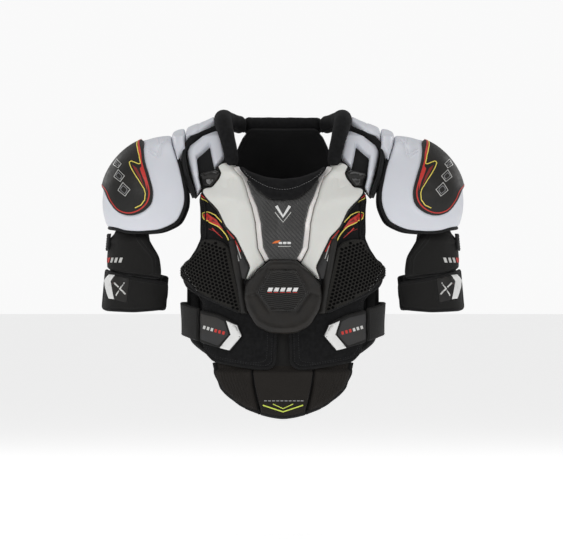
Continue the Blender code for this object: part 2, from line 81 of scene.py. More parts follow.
# Levels above the body form, low and high, for each layer.
LINER = (0.0003, 0.0022)
BACK_LINER = (0.0003, 0.0040)
TONGUE = (0.0006, 0.0050)
VEST = (0.0058, 0.0122)
PLATE = (0.0136, 0.0225)
BACKING = (0.0128, 0.0150)
MESH = (0.0140, 0.0182)
RIB = (0.0130, 0.0212)
BEVEL = (0.0136, 0.0212)
SIDE_TAB = (0.0126, 0.0158)
CLIP = (0.0134, 0.0225)
SPINE = (0.0134, 0.0250)
STRAP = (0.0142, 0.0188)
NECKLINE = (0.0196, 0.0285)
STERNUM_PANEL = (0.0132, 0.0185)
STERNUM_CAP = (0.0240, 0.0372)
ARCH = (0.0005, 0.0100)
CLAVICLE = (0.0117, 0.0205)
CLAVICLE_BACKING = (0.0102, 0.0118)
CLAVICLE_TAPE = (0.0108, 0.0290)
WEBBING = (0.0118, 0.0140)
SEGMENT = (0.0140, 0.0330)
BELLY = (0.0040, 0.0130)
BELLY_BACKING = (0.0014, 0.0044)
CAP_SHELL = (-0.0060, 0.0000)
CAP_LINER = (-0.0170, -0.0075)
CAP_INSERT = (0.0002, 0.0048)
BICEPS_PAD = (0.0002, 0.0126)
BICEPS_CUFF = (0.0000, 0.0088)
BICEPS_STRAP = (0.0100, 0.0148)
CAP_LINK = (0.0138, 0.0168)
BADGE = (0.0, 0.0030)  # above the plane at BADGE_BACK_Y
BADGE_BACK_Y = -0.1511

HEM_WIDTH = 0.008
BINDING_EXTRA = 0.0012  # how much higher a binding stands than its panel is thick
STITCH, STITCH_GAP, THREAD_THICK = 0.0026, 0.0014, 0.0007
COLLAR_RADIUS = 0.0142

EDGE_STEP = 0.0028  # spacing of points along an outline
CELL = 0.0046  # spacing of points inside it
SIM_FRAMES = 20
MOST_RISE = 0.0024  # how far stuffing may lift the cloth


def torso_section(z):
    """Half width and both depths at height z."""
    heights, *sizes = (np.array(column) for column in zip(*TORSO))
    return [np.interp(z, heights, size) for size in sizes]


def section_measure(x, y, z):
    """1 on the torso's surface, less inside it and more outside."""
    width, front, back = torso_section(z)
    depth = np.where(y < 0, front, back)
    across = np.abs(x / width) ** TORSO_POWER
    along = np.abs(y / depth) ** TORSO_POWER
    return (across + along + 1e-12) ** (1 / TORSO_POWER)


def torso_distance(x, y, z, step=0.002):
    """First-order distance from the torso's surface."""
    slopes = (
        section_measure(x + step, y, z) - section_measure(x - step, y, z),
        section_measure(x, y + step, z) - section_measure(x, y - step, z),
        section_measure(x, y, z + step * 3) / 3 - section_measure(x, y, z - step * 3) / 3,
    )
    steepness = np.sqrt(sum(slope**2 for slope in slopes)) / (2 * step)
    return (section_measure(x, y, z) - 1) / np.maximum(steepness, 1e-6)


def shoulder_distance(x, y, z):
    """Distance from the capsule round the shoulder bone line, on either side."""
    axis = SHOULDER_OUT - SHOULDER_IN
    from_in = (np.abs(x) - SHOULDER_IN.x, y - SHOULDER_IN.y, z - SHOULDER_IN.z)
    share = np.clip(sum(a * b for a, b in zip(from_in, axis)) / axis.length_squared, 0, 1)
    offsets = [a - share * b for a, b in zip(from_in, axis)]
    return np.sqrt(sum(offset**2 for offset in offsets)) - SHOULDER_RADIUS


def body_level(x, y, z):
    """Height above the body form: a smooth union of the torso and the shoulders."""
    torso = torso_distance(x, y, z)
    shoulder = shoulder_distance(x, y, z)
    mix = np.maximum(SHOULDER_BLEND - np.abs(torso - shoulder), 0) / SHOULDER_BLEND
    return np.minimum(torso, shoulder) - mix**2 * SHOULDER_BLEND / 4


def cast(origin, direction, level, near, far):
    """Where rays leave the body form's level, found by halving between near and far."""
    near = np.full(np.shape(origin[0]), near, float)
    far = np.full(np.shape(origin[0]), far, float)
    for _ in range(22):
        middle = (near + far) / 2
        inside = body_level(*(o + d * middle for o, d in zip(origin, direction))) < level
        near = np.where(inside, middle, near)
        far = np.where(inside, far, middle)
    return np.stack([o + d * near for o, d in zip(origin, direction)], axis=-1)


# Charts: metric coordinates u, v and a level, turned into points ---------------------------------------
def straight_on(x, z, level, way):
    """How far ahead (way -1) or behind (way 1) of the middle plane the level lies at x and z."""
    flat = np.zeros_like(x)
    return np.abs(cast((np.abs(x), flat, z), (flat, flat + way, flat), level, 0.0, 0.30)[..., 1])


class TorsoFront:
    """u runs from straight ahead round the left side, v is the height."""

    turn = 0.125  # metres for a radian
    start, way = 0.0, 1.0

    def place(self, u, v, level):
        bearing = self.start + self.way * u / self.turn
        flat = np.zeros_like(v)
        ray = (np.sin(bearing), -np.cos(bearing), flat)
        return cast((flat, flat, v), ray, level, 0.02, 0.30)

    def flatten(self, x, z, level):
        """u, v of the points on that level which are seen at these x and z."""
        bearing = np.arctan2(np.abs(x), straight_on(x, z, level, -self.way))
        return np.stack([np.sign(x) * bearing * self.turn, z], axis=-1)


class TorsoBack(TorsoFront):
    """u runs from straight behind round the left side."""

    start, way = math.pi, -1.0


class Shoulder:
    """Over the shoulder: u is x, and v goes up from ahead and down behind."""

    turn = 0.115

    def place(self, u, v, level):
        angle = v / self.turn
        origin = (u, np.full_like(u, ARCH_ORIGIN[0]), np.full_like(u, ARCH_ORIGIN[1]))
        return cast(origin, (np.zeros_like(u), -np.cos(angle), np.sin(angle)), level, 0.01, 0.30)

    def flatten(self, x, z, level):
        ahead = straight_on(x, z, level, -1) + ARCH_ORIGIN[0]
        return np.stack([x, np.arctan2(z - ARCH_ORIGIN[1], ahead) * self.turn], axis=-1)

    def at(self, *places):
        """u, v from x in millimetres and the angle in degrees."""
        return np.array([(x / 1000, math.radians(angle) * self.turn) for x, angle in places])


class Arm:
    """Round the upper arm: u is 0 outward, positive ahead, and v is the height."""

    turn = 0.045

    def axis(self, v):
        share = (v - ARM_TOP[1]) / (ARM_END[1] - ARM_TOP[1])
        return ARM_TOP[0] + share * (ARM_END[0] - ARM_TOP[0])

    def place(self, u, v, level):
        across, along = (radius + level for radius in ARM_RADII)
        angle = u / self.turn
        return np.stack([self.axis(v) + across * np.cos(angle), -along * np.sin(angle), v], axis=-1)

    def flatten(self, x, z, level):
        across = np.clip((x - self.axis(z)) / (ARM_RADII[0] + level), -1, 1)
        return np.stack([np.arccos(across) * self.turn, z], axis=-1)

    def at(self, *places):
        """u, v from the angle in degrees and the height in millimetres."""
        return np.array([(math.radians(angle) * self.turn, v / 1000) for angle, v in places])


class Cap:
    """Over the shoulder cap's ellipsoid, as distances and directions from the cap's middle."""

    turn = 0.100

    def __init__(self):
        self.apex = np.array(CAP_APEX)
        self.first = np.cross((0, 0, 1), self.apex)
        self.first /= np.linalg.norm(self.first)
        self.second = np.cross(self.apex, self.first)

    def place(self, u, v, level):
        away = np.hypot(u, v)
        safe = np.maximum(away, 1e-9)
        angle = away / self.turn
        aside = (u / safe)[..., None] * self.first + (v / safe)[..., None] * self.second
        direction = self.apex * np.cos(angle)[..., None] + aside * np.sin(angle)[..., None]
        radii = CAP_RADII + np.asarray(level)[..., None]
        measure = np.sqrt(((direction / radii) ** 2).sum(axis=-1, keepdims=True))
        return CAP_CENTRE + direction / measure

    def spot(self, direction):
        """u, v of a direction from the cap's centre."""
        direction = np.array(direction) / np.linalg.norm(direction)
        away = math.acos(np.clip(direction @ self.apex, -1, 1)) * self.turn
        parts = np.array((direction @ self.first, direction @ self.second))
        return parts / max(np.linalg.norm(parts), 1e-9) * away

    def at(self, *places):
        """u, v from x and z in millimetres and way, -1 ahead and 1 behind."""
        found = []
        for x, z, way in places:
            across = (x / 1000 - CAP_CENTRE[0]) / CAP_RADII[0]
            up = (z / 1000 - CAP_CENTRE[2]) / CAP_RADII[2]
            along = way * math.sqrt(max(0.0, 1 - across**2 - up**2))
            found.append(self.spot(np.array((across, along, up)) * CAP_RADII))
        return np.array(found)


class Plane:
    """An upright plane that faces ahead, at a fixed y. Level counts forward from it."""

    def __init__(self, y):
        self.y = y

    def place(self, u, v, level):
        return np.stack([u, self.y - level * np.ones_like(u), v], axis=-1)

    def flatten(self, x, z, level):
        return np.stack([x, z], axis=-1)


FRONT, BACK, SHOULDER, ARM, CAP = TorsoFront(), TorsoBack(), Shoulder(), Arm(), Cap()


def mirrored(*half, middle=()):
    """A symmetrical outline: the half, what lies in the middle, and the half mirrored in turn."""
    return [*half, *middle, *((-x, z) for x, z in reversed(half))]


def seen(chart, level, *places):
    """u, v of places given in millimetres as seen square on."""
    x, z = np.array(places, float).T / 1000
    return chart.flatten(x, z, level)


# Paths in a chart --------------------------------------------------------------------------------------
def rounded(path, radius, closed=True):
    """The path with its corners cut to smooth bends."""
    made = []
    count = len(path)
    for i, here in enumerate(path):
        if not closed and i in (0, count - 1):
            made.append(here)
            continue
        arms = [path[i - 1] - here, path[(i + 1) % count] - here]
        start, end = (here + arm * min(radius / max(np.linalg.norm(arm), 1e-9), 0.48) for arm in arms)
        for t in (0.0, 0.25, 0.5, 0.75, 1.0):
            made.append(start * (1 - t) ** 2 + 2 * t * (1 - t) * here + end * t**2)
    return np.array(made)


def curved(path, closed=True, steps=6):
    """A smooth curve through the points of the path."""
    count = len(path)
    made = []
    for i in range(count if closed else count - 1):
        near = [i + k for k in (-1, 0, 1, 2)]
        near = [k % count for k in near] if closed else np.clip(near, 0, count - 1)
        before, start, end, after = (path[k] for k in near)
        second = 2 * before - 5 * start + 4 * end - after
        third = 3 * start - before - 3 * end + after
        for t in np.arange(steps) / steps:
            made.append(0.5 * (2 * start + (end - before) * t + second * t**2 + third * t**3))
    if not closed:
        made.append(path[-1])
    return np.array(made)


def divided(path, step, closed=True):
    """The path with extra points, so that none are further apart than the step."""
    ends = np.roll(path, -1, axis=0) if closed else path[1:]
    made = []
    for start, end in zip(path, ends):
        parts = max(1, math.ceil(np.linalg.norm(end - start) / step - 0.2))
        made.extend(start + (end - start) * k / parts for k in range(parts))
    if not closed:
        made.append(path[-1])
    return np.array(made)


def evenly(path, step, closed=True):
    """Points at equal distances along the path."""
    ring = np.vstack([path, path[:1]]) if closed else path
    lengths = np.concatenate([[0], np.cumsum(np.linalg.norm(np.diff(ring, axis=0), axis=1))])
    count = max(2, round(lengths[-1] / step))
    places = np.linspace(0, lengths[-1], count + 1)
    places = places[:-1] if closed else places
    return np.stack([np.interp(places, lengths, ring[:, k]) for k in range(ring.shape[1])], axis=-1)


def distance_to(places, path, closed=True):
    """Distance from each place to the nearest stretch of the path."""
    starts = path if closed else path[:-1]
    along = (np.roll(path, -1, axis=0) if closed else path[1:]) - starts
    spans = np.maximum((along**2).sum(axis=1), 1e-18)
    best = [np.zeros(0)]
    for part in np.array_split(places, max(1, len(places) * len(starts) // 400000)):
        from_start = part[:, None] - starts[None]
        share = np.clip((from_start * along).sum(axis=-1) / spans, 0, 1)
        gaps = from_start - share[..., None] * along
        best.append((gaps**2).sum(axis=-1).min(axis=1))
    return np.sqrt(np.concatenate(best))


def inside(places, loop):
    """Which places lie inside the closed loop."""
    held = np.zeros(len(places), bool)
    x, y = places.T
    for (x0, y0), (x1, y1) in zip(loop, np.roll(loop, -1, axis=0)):
        if y0 != y1:
            held ^= ((y0 > y) != (y1 > y)) & (x < (x1 - x0) * (y - y0) / (y1 - y0) + x0)
    return held


def unit(vectors):
    """The vectors at length 1."""
    return vectors / np.maximum(np.linalg.norm(vectors, axis=-1, keepdims=True), 1e-12)


def heading(path, closed):
    """Unit directions along the path."""
    if closed:
        return unit(np.roll(path, -1, axis=0) - np.roll(path, 1, axis=0))
    return unit(np.gradient(path, axis=0))


def leftward(path, closed=True):
    """Unit directions across the path, to its left."""
    return heading(path, closed)[:, ::-1] * (-1, 1)


def tree_of(places):
    """A kd-tree of places in a chart."""
    tree = kdtree.KDTree(len(places))
    for i, (x, y) in enumerate(places):
        tree.insert((x, y, 0), i)
    tree.balance()
    return tree


def area_of(loop):
    """The area inside the loop, below zero for one that runs clockwise."""
    x, y = loop.T
    return 0.5 * float((x * np.roll(y, -1) - np.roll(x, -1) * y).sum())


def inset(loop, amount):
    """The loop moved inward by the amount, or outward by a negative one."""
    way = 1 if area_of(loop) > 0 else -1
    fine = divided(loop, EDGE_STEP)
    moved = fine + leftward(fine) * amount * way
    kept = distance_to(moved, fine) > abs(amount) * 0.93
    return moved[kept]


def band(path, width, taper=1.0):
    """A closed strip along an open path, which may taper toward its end."""
    widths = np.linspace(1, taper, len(path))[:, None] * width / 2
    across = leftward(path, closed=False)
    return np.vstack([path + across * widths, (path - across * widths)[::-1]])


# Relief on a panel -------------------------------------------------------------------------------------
class Line:
    """A ridge along a path, or a groove if its height is below zero."""

    def __init__(self, path, width, height, closed=False, sharp=False):
        self.path = divided(path, EDGE_STEP, closed)
        self.width, self.height, self.closed, self.sharp = width, height, closed, sharp

    def rise(self, places):
        share = distance_to(places, self.path, self.closed) / self.width
        profile = np.maximum(1 - share, 0) if self.sharp else np.exp(-(share**2))
        return self.height * profile

    def seeds(self):
        across = leftward(self.path, self.closed)
        shifts = (-1.0, 0.0, 1.0) if self.sharp else (-1.6, -0.8, 0.0, 0.8, 1.6)
        return [self.path + across * self.width * k for k in shifts]


class Field:
    """A raised or sunken field with a bevelled edge."""

    def __init__(self, loop, bevel, height):
        self.loop = divided(loop, EDGE_STEP)
        self.bevel, self.height = bevel, height

    def rise(self, places):
        depth = distance_to(places, self.loop)
        share = np.where(inside(places, self.loop), np.minimum(depth / self.bevel, 1), 0)
        return self.height * share * share * (3 - 2 * share)

    def seeds(self):
        return [self.loop, inset(self.loop, self.bevel * 0.5), inset(self.loop, self.bevel)]


class Softness:
    """Slow, even unevenness, as stuffed cloth has."""

    def __init__(self, height, length, seed):
        self.height = height
        draws = np.random.default_rng(seed)
        turns = draws.uniform(0, 2 * math.pi, 7)
        pitches = 2 * math.pi / (length * draws.uniform(0.6, 1.6, 7))
        self.waves = np.stack([np.cos(turns) * pitches, np.sin(turns) * pitches], axis=0)
        self.phases = draws.uniform(0, 2 * math.pi, 7)

    def rise(self, places):
        return self.height * np.sin(places @ self.waves + self.phases).mean(axis=1) * 2

    def seeds(self):
        return []


class Holes:
    """A honeycomb of sunken holes inside a loop."""

    def __init__(self, loop, pitch, radius, depth, lean=0.0):
        self.radius, self.depth = radius, depth
        low, high = loop.min(axis=0), loop.max(axis=0)
        steps = np.arange(-60, 60)
        grid = np.array([(i + (j % 2) / 2, j * math.sqrt(3) / 2) for i in steps for j in steps]) * pitch
        turn = np.array(((math.cos(lean), math.sin(lean)), (-math.sin(lean), math.cos(lean))))
        grid = grid @ turn + (low + high) / 2
        self.centres = grid[inside(grid, loop) & (distance_to(grid, loop) > radius * 1.15)]
        corners = np.arange(6) * math.pi / 3 + math.pi / 6 + lean
        self.corners = np.stack([np.cos(corners), np.sin(corners)], axis=-1)
        self.tree = tree_of(self.centres)

    def away(self, places):
        """Distance from each place to the middle of the nearest hole."""
        return np.array([self.tree.find((x, y, 0))[2] for x, y in places])

    def rise(self, places):
        share = (self.away(places) - self.radius * 0.72) / (self.radius * 0.26)
        return -self.depth * (1 - np.clip(share, 0, 1))

    def seeds(self):
        rings = [self.centres[:, None] + self.corners * self.radius * share for share in (0.70, 1.0)]
        return [self.centres, *(ring.reshape(-1, 2) for ring in rings)]


# Panels ------------------------------------------------------------------------------------------------
def tucked(line, run, depth):
    """A top edge that drops by depth over the run above a height, so that it lies behind its neighbour."""
    return lambda places: depth * np.clip((places[:, 1] - line) / run, 0, 1)


def shell_faces(faces, top, under):
    """Faces of a closed shell, from the triangles of its top and as many points under them."""
    count = len(top)
    sides = {(face[a], face[b]) for face in faces for a, b in ((0, 1), (1, 2), (2, 0))}
    ordered = ((face[a], face[b]) for face in faces for a, b in ((0, 1), (1, 2), (2, 0)))
    rim = [(a, b) for a, b in ordered if (b, a) not in sides]
    made = [tuple(face) for face in faces] + [tuple(face[::-1] + count) for face in faces]
    made += [(b, a, a + count, b + count) for a, b in rim]
    face = faces[len(faces) // 2]
    a, b, c = (Vector(top[i]) for i in face)
    if (b - a).cross(c - a).dot(a - Vector(under[face[0]])) < 0:
        made = [face[::-1] for face in made]
    return made


class Panel:
    """A closed pad or plate on a chart, between two levels, with a rounded edge, a crown and relief."""

    def __init__(self, chart, loop, levels, edge=0.004, drop=None, crown=0.0, reach=0.03, relief=(),
                 tuck=None, cell=CELL):
        self.chart, self.levels, self.edge = chart, levels, edge
        self.loop = divided(loop, EDGE_STEP)
        self.drop = (levels[1] - levels[0]) * 0.8 if drop is None else drop
        self.crown, self.reach, self.relief = crown, reach, list(relief)
        self.tuck, self.cell = tuck, cell
        self.swell = None

    def height(self, places):
        """Level of the outer surface."""
        depth = distance_to(places, self.loop)
        rim = np.clip(1 - depth / self.edge, 0, 1)
        level = self.levels[1] - self.drop * (1 - np.sqrt(1 - rim**2))
        swell = 1 - np.clip(depth / self.reach, 0, 1)
        level = level + self.crown * (1 - swell**2)
        for feature in self.relief:
            level = level + feature.rise(places)
        if self.tuck is not None:
            level = level - self.tuck(places)
        if self.swell is not None:
            level = level + self.swell(places)
        return np.maximum(level, self.levels[0] + 0.0004)

    def points(self, places, above=0.0, side=1):
        """Points on the outer surface, or that far above it."""
        made = self.chart.place(places[:, 0], places[:, 1], self.height(places) + above)
        return made * (side, 1, 1)

    def outward(self, places, side=1):
        """Unit directions away from the wearer at the places."""
        return unit(self.points(places, 0.001, side) - self.points(places, 0.0, side))

    def mesh_points(self, zones):
        """All the points of the surface in the chart, and the loops that faces must follow."""
        bends = np.radians((18, 36, 54, 72, 90))
        loops = [self.loop]
        loops += [divided(loop, EDGE_STEP) for loop, _ in zones]
        loops += [feature.loop for feature in self.relief if isinstance(feature, Field)]
        seeds = [inset(self.loop, self.edge * (1 - math.cos(bend))) for bend in bends]
        for feature in self.relief:
            seeds += feature.seeds()
        low, high = self.loop.min(axis=0), self.loop.max(axis=0)
        rows = np.arange(low[1], high[1], self.cell * math.sqrt(3) / 2)
        columns = np.arange(low[0], high[0], self.cell)
        grid = np.array([(x + (j % 2) * self.cell / 2, y) for j, y in enumerate(rows) for x in columns])
        return loops, seeds, grid

    def surface(self, zones=()):
        """Points u, v and triangles of the outer surface, with the material of each triangle."""
        loops, seeds, grid = self.mesh_points(zones)
        points, edges = [], []
        for loop in loops:
            start = len(points)
            points.extend(loop)
            edges.extend((start + i, start + (i + 1) % len(loop)) for i in range(len(loop)))
        seeds = np.vstack([np.zeros((0, 2)), *seeds])
        _, first = np.unique(np.round(seeds / 0.0006), axis=0, return_index=True)
        for group, gap in ((seeds[np.sort(first)], 0.00045), (grid, self.cell * 0.55)):
            taken = tree_of(points)
            held = group[inside(group, self.loop)]
            points.extend(p for p in held if taken.find((p[0], p[1], 0))[2] > gap)
        flat = [Vector((x * 1000, y * 1000)) for x, y in points]
        found, _, faces, *_ = geometry.delaunay_2d_cdt(flat, edges, [], 0, 1e-4)
        places = np.array([(p.x, p.y) for p in found]) / 1000
        faces = np.array(faces)
        middles = places[faces].mean(axis=1)
        faces = faces[inside(middles, self.loop)]
        middles = places[faces].mean(axis=1)
        finish = np.zeros(len(faces), int)
        for loop, index in zones:
            finish[inside(middles, loop)] = index
        return places, faces, finish

    def solid(self, name, materials, side=1, zones=()):
        """The panel as a closed mesh object with a UV map in centimetres."""
        places, faces, finish = self.surface(zones)
        top = self.points(places, 0.0, side)
        under = self.chart.place(*places.T, np.full(len(places), self.levels[0])) * (side, 1, 1)
        shell = shell_faces(faces, top, under)
        index = np.concatenate([finish, np.zeros(len(shell) - len(faces), int)])
        return add_mesh(name, np.vstack([top, under]), shell, materials, index, np.vstack([places, places]))


def held_places(panel, places):
    """1 where the cloth is sewn down: along the outline and in the seams. 0 where it is free."""
    held = distance_to(places, panel.loop) < panel.edge
    for feature in panel.relief:
        if isinstance(feature, Line) and feature.height < 0:
            held |= distance_to(places, feature.path, feature.closed) < feature.width * 0.9
    if panel.tuck is not None:
        held |= panel.tuck(places) > 0.001
    return held


def stuffed(panel, piece, side=1):
    """Lets the padding press the cloth outward between its seams, by a short cloth simulation."""
    count = len(piece.data.vertices) // 2
    layer = piece.data.uv_layers["chart"].data
    places = np.zeros((count * 2, 2))
    for loop, spot in zip(piece.data.loops, layer):
        places[loop.vertex_index] = spot.uv
    places /= 100
    held = np.concatenate([held_places(panel, places[:count]), np.ones(count, bool)])
    group = piece.vertex_groups.new(name="sewn")
    group.add([int(i) for i in np.nonzero(held)[0]], 1.0, "REPLACE")
    before = np.array([v.co for v in piece.data.vertices])
    cloth = piece.modifiers.new("stuffing", "CLOTH")
    cloth.settings.vertex_group_mass = group.name
    cloth.settings.quality = 5
    cloth.settings.mass = 0.25
    cloth.settings.tension_stiffness = cloth.settings.compression_stiffness = 18
    cloth.settings.bending_stiffness = 0.6
    cloth.settings.use_pressure = True
    cloth.settings.uniform_pressure_force = 4.0
    cloth.settings.effector_weights.gravity = 0
    cloth.point_cache.frame_start = 1
    cloth.point_cache.frame_end = SIM_FRAMES
    scene = bpy.context.scene
    for moment in range(1, SIM_FRAMES + 1):
        scene.frame_set(moment)
    view = piece.evaluated_get(bpy.context.evaluated_depsgraph_get())
    after = np.array([v.co for v in view.data.vertices])
    piece.modifiers.remove(cloth)
    scene.frame_set(1)
    piece.vertex_groups.remove(group)
    outward = panel.outward(places[:count], side)
    rise = np.clip(((after - before)[:count] * outward).sum(axis=1), -MOST_RISE / 2, MOST_RISE)
    tree = tree_of(places[:count])
    for i in range(count):
        piece.data.vertices[i].co = before[i] + outward[i] * rise[i]

    def swell(spots):
        """How far the stuffed cloth has risen at the spots."""
        found = []
        for x, y in spots:
            near = tree.find_n((x, y, 0), 3)
            shares = [1 / (gap + 1e-5) for _, _, gap in near]
            found.append(sum(rise[i] * share for (_, i, _), share in zip(near, shares)) / sum(shares))
        return np.array(found)

    panel.swell = swell
    return piece


def add_mesh(name, points, faces, materials, index=None, chart=None, smooth=math.radians(48)):
    """A mesh object in the scene, with materials, face finishes and a chart UV map."""
    data = bpy.data.meshes.new(name)
    data.from_pydata([tuple(p) for p in points], [], [tuple(int(i) for i in face) for face in faces])
    for material in materials:
        data.materials.append(material)
    if index is not None:
        data.polygons.foreach_set("material_index", np.array(index, np.int32))
    if chart is not None:
        corners = np.zeros(len(data.loops), np.int32)
        data.loops.foreach_get("vertex_index", corners)
        layer = data.uv_layers.new(name="chart")
        layer.data.foreach_set("uv", (np.asarray(chart)[corners] * 100).astype(np.float32).ravel())
    data.update()
    data.shade_smooth()
    data.set_sharp_from_angle(angle=smooth)
    made = bpy.data.objects.new(name, data)
    bpy.context.scene.collection.objects.link(made)
    return made


def join(name, pieces):
    """Several mesh objects as one."""
    bpy.ops.object.select_all(action="DESELECT")
    for piece in pieces:
        piece.select_set(True)
    bpy.context.view_layer.objects.active = pieces[0]
    if len(pieces) > 1:
        bpy.ops.object.join()
    pieces[0].name = name
    pieces[0].data.name = name
    return pieces[0]


# Tubes, tapes and stitches -----------------------------------------------------------------------------
def sweep(name, line, normals, width, height, material, closed=False, sides=8):
    """A tube along points, flat side on the normals, as wide and as high as given, by number or array."""
    line, normals = np.asarray(line, float), np.asarray(normals, float)
    count = len(line)
    along = heading(line, closed)
    across = unit(np.cross(along, normals))
    up = np.cross(across, along)
    angles = np.arange(sides) * 2 * math.pi / sides
    wide = (np.ones(count) * width / 2)[:, None, None]
    high = (np.ones(count) * height / 2)[:, None, None]
    ring = line[:, None] + across[:, None] * wide * np.cos(angles)[None, :, None]
    ring = ring + up[:, None] * high * np.sin(angles)[None, :, None]
    lengths = np.concatenate([[0], np.cumsum(np.linalg.norm(np.diff(line, axis=0), axis=1))])
    chart = np.stack([np.tile(angles * (width if np.isscalar(width) else 0.01) / 2, count),
                      np.repeat(lengths, sides)], axis=-1)
    faces = []
    for i in range(count if closed else count - 1):
        here, after = i * sides, (i + 1) % count * sides
        for j in range(sides):
            k = (j + 1) % sides
            faces.append((here + j, here + k, after + k, after + j))
    if not closed:
        faces.append(tuple(range(sides))[::-1])
        faces.append(tuple((count - 1) * sides + j for j in range(sides)))
    return add_mesh(name, ring.reshape(-1, 3), faces, [material], None, chart, smooth=math.radians(70))


def piping(panel, path, width, height, material, side=1, above=0.0):
    """A raised tape or cord along an open path on a panel."""
    line = evenly(path, 0.004, False)
    normals = panel.outward(line, side)
    return sweep("piping", panel.points(line, above, side), normals, width, height, material)


def binding(panel, material, side, width, path=None, closed=True):
    """Edge tape that is folded round the panel's outline, or along a part of it."""
    loop = panel.loop if path is None else path
    line = evenly(loop, 0.0035, closed)
    low, high = panel.levels
    middle = np.full(len(line), (low + high) / 2)
    if panel.tuck is not None:
        middle = (low + panel.height(line)) / 2
    points = panel.chart.place(*line.T, middle) * (side, 1, 1)
    normals = unit(panel.chart.place(*line.T, middle + 0.001) * (side, 1, 1) - points)
    return sweep("binding", points, normals, width, high - low + BINDING_EXTRA, material, closed)


def stitches(panel, path, material, side=1, closed=False, above=0.0001):
    """A row of raised threads along a path on a panel."""
    line = evenly(path, (STITCH + STITCH_GAP) / 2, closed)
    centres = panel.points(line, above, side)
    normals = panel.outward(line, side)
    along = heading(centres, closed)
    across = np.cross(along, normals)
    points, faces = [], []
    for spot, way, aside, up in zip(centres[::2], along[::2], across[::2], normals[::2]):
        start = len(points)
        points.append(spot - way * STITCH / 2)
        for shift in (-0.28, 0.28):
            for angle in np.arange(5) * 2 * math.pi / 5 + math.pi / 2:
                ring = aside * math.cos(angle) + up * math.sin(angle)
                points.append(spot + way * STITCH * shift + ring * THREAD_THICK / 2 * 0.85)
        points.append(spot + way * STITCH / 2)
        for k in range(5):
            near, after = start + 1 + k, start + 1 + (k + 1) % 5
            faces.append((start, after, near))
            faces.append((near, after, after + 5, near + 5))
            faces.append((near + 5, after + 5, start + 11))
    return add_mesh("stitches", points, faces, [material], None, np.zeros((len(points), 2)), smooth=math.pi)


def patch(panel, loop, material, side=1, thick=0.0008, sink=0.0006):
    """A thin raised shape that lies on a panel and follows it."""
    top = Panel(panel.chart, loop, (0.0, thick), edge=min(0.0006, thick), drop=thick * 0.5, cell=0.004)
    places, faces, _ = top.surface()
    base = panel.height(places)
    upper = panel.chart.place(*places.T, base + top.height(places)) * (side, 1, 1)
    lower = panel.chart.place(*places.T, base - sink) * (side, 1, 1)
    shell = shell_faces(faces, upper, lower)
    return add_mesh("patch", np.vstack([upper, lower]), shell, [material], None, np.vstack([places, places]))


# Materials ---------------------------------------------------------------------------------------------
class Finish:
    """A Principled material whose nodes are added one at a time."""

    def __init__(self, name, colour, roughness, **sockets):
        self.material = bpy.data.materials.new(name)
        self.material.use_nodes = True
        self.tree = self.material.node_tree
        self.shader = self.tree.nodes["Principled BSDF"]
        self.shader.inputs["Base Color"].default_value = (*colour, 1)
        self.shader.inputs["Roughness"].default_value = roughness
        for socket, value in sockets.items():
            self.shader.inputs[socket.replace("_", " ")].default_value = value
        self.place = self.node("ShaderNodeTexCoord").outputs["Object"]
        self.chart = self.node("ShaderNodeUVMap", uv_map="chart").outputs["UV"]
        self.relief = None

    def node(self, kind, inputs=(), **settings):
        made = self.tree.nodes.new(kind)
        for setting, value in settings.items():
            setattr(made, setting, value)
        for socket, value in dict(inputs).items():
            if isinstance(value, bpy.types.NodeSocket):
                self.tree.links.new(value, made.inputs[socket])
            else:
                made.inputs[socket].default_value = value
        return made

    def math(self, operation, first, second=0.0):
        return self.node("ShaderNodeMath", {0: first, 1: second}, operation=operation).outputs[0]

    def noise(self, scale, detail=3.0, rough=0.55):
        inputs = {"Vector": self.place, "Scale": scale, "Detail": detail, "Roughness": rough}
        return self.node("ShaderNodeTexNoise", inputs).outputs["Fac"]

    def turned(self, angle, scale=(1, 1, 1)):
        inputs = {"Vector": self.chart, "Rotation": (0, 0, angle), "Scale": scale}
        return self.node("ShaderNodeMapping", inputs).outputs[0]

    def waves(self, pitch, angle=0.0, distort=0.0):
        """Even bands across the chart, a pitch in millimetres apart."""
        inputs = {"Vector": self.turned(angle), "Scale": 5 / pitch, "Distortion": distort, "Detail": 1.0,
                  "Detail Scale": 3.0}
        return self.node("ShaderNodeTexWave", inputs, wave_type="BANDS", bands_direction="X").outputs["Fac"]

    def ranged(self, value, low, high, new_low, new_high):
        inputs = {"Value": value, 1: low, 2: high, 3: new_low, 4: new_high}
        return self.node("ShaderNodeMapRange", inputs).outputs[0]

    def mixed(self, share, first, second):
        made = self.node("ShaderNodeMix", data_type="RGBA")
        for socket, value in ((made.inputs[0], share), (made.inputs[6], first), (made.inputs[7], second)):
            if isinstance(value, bpy.types.NodeSocket):
                self.tree.links.new(value, socket)
            else:
                socket.default_value = value if isinstance(value, float) else (*value, 1)
        return made.outputs[2]

    def paint(self, colour):
        self.tree.links.new(colour, self.shader.inputs["Base Color"])

    def polish(self, roughness):
        self.tree.links.new(roughness, self.shader.inputs["Roughness"])

    def bump(self, height, depth, strength=1.0):
        """Adds relief that many millimetres deep."""
        inputs = {"Height": height, "Distance": depth / 1000, "Strength": strength}
        if self.relief is not None:
            inputs["Normal"] = self.relief
        self.relief = self.node("ShaderNodeBump", inputs).outputs[0]
        self.tree.links.new(self.relief, self.shader.inputs["Normal"])


def shaded(colour, *factors):
    """The colour times one factor, or one for each channel."""
    return tuple(c * f for c, f in zip(colour, factors * 3 if len(factors) == 1 else factors))


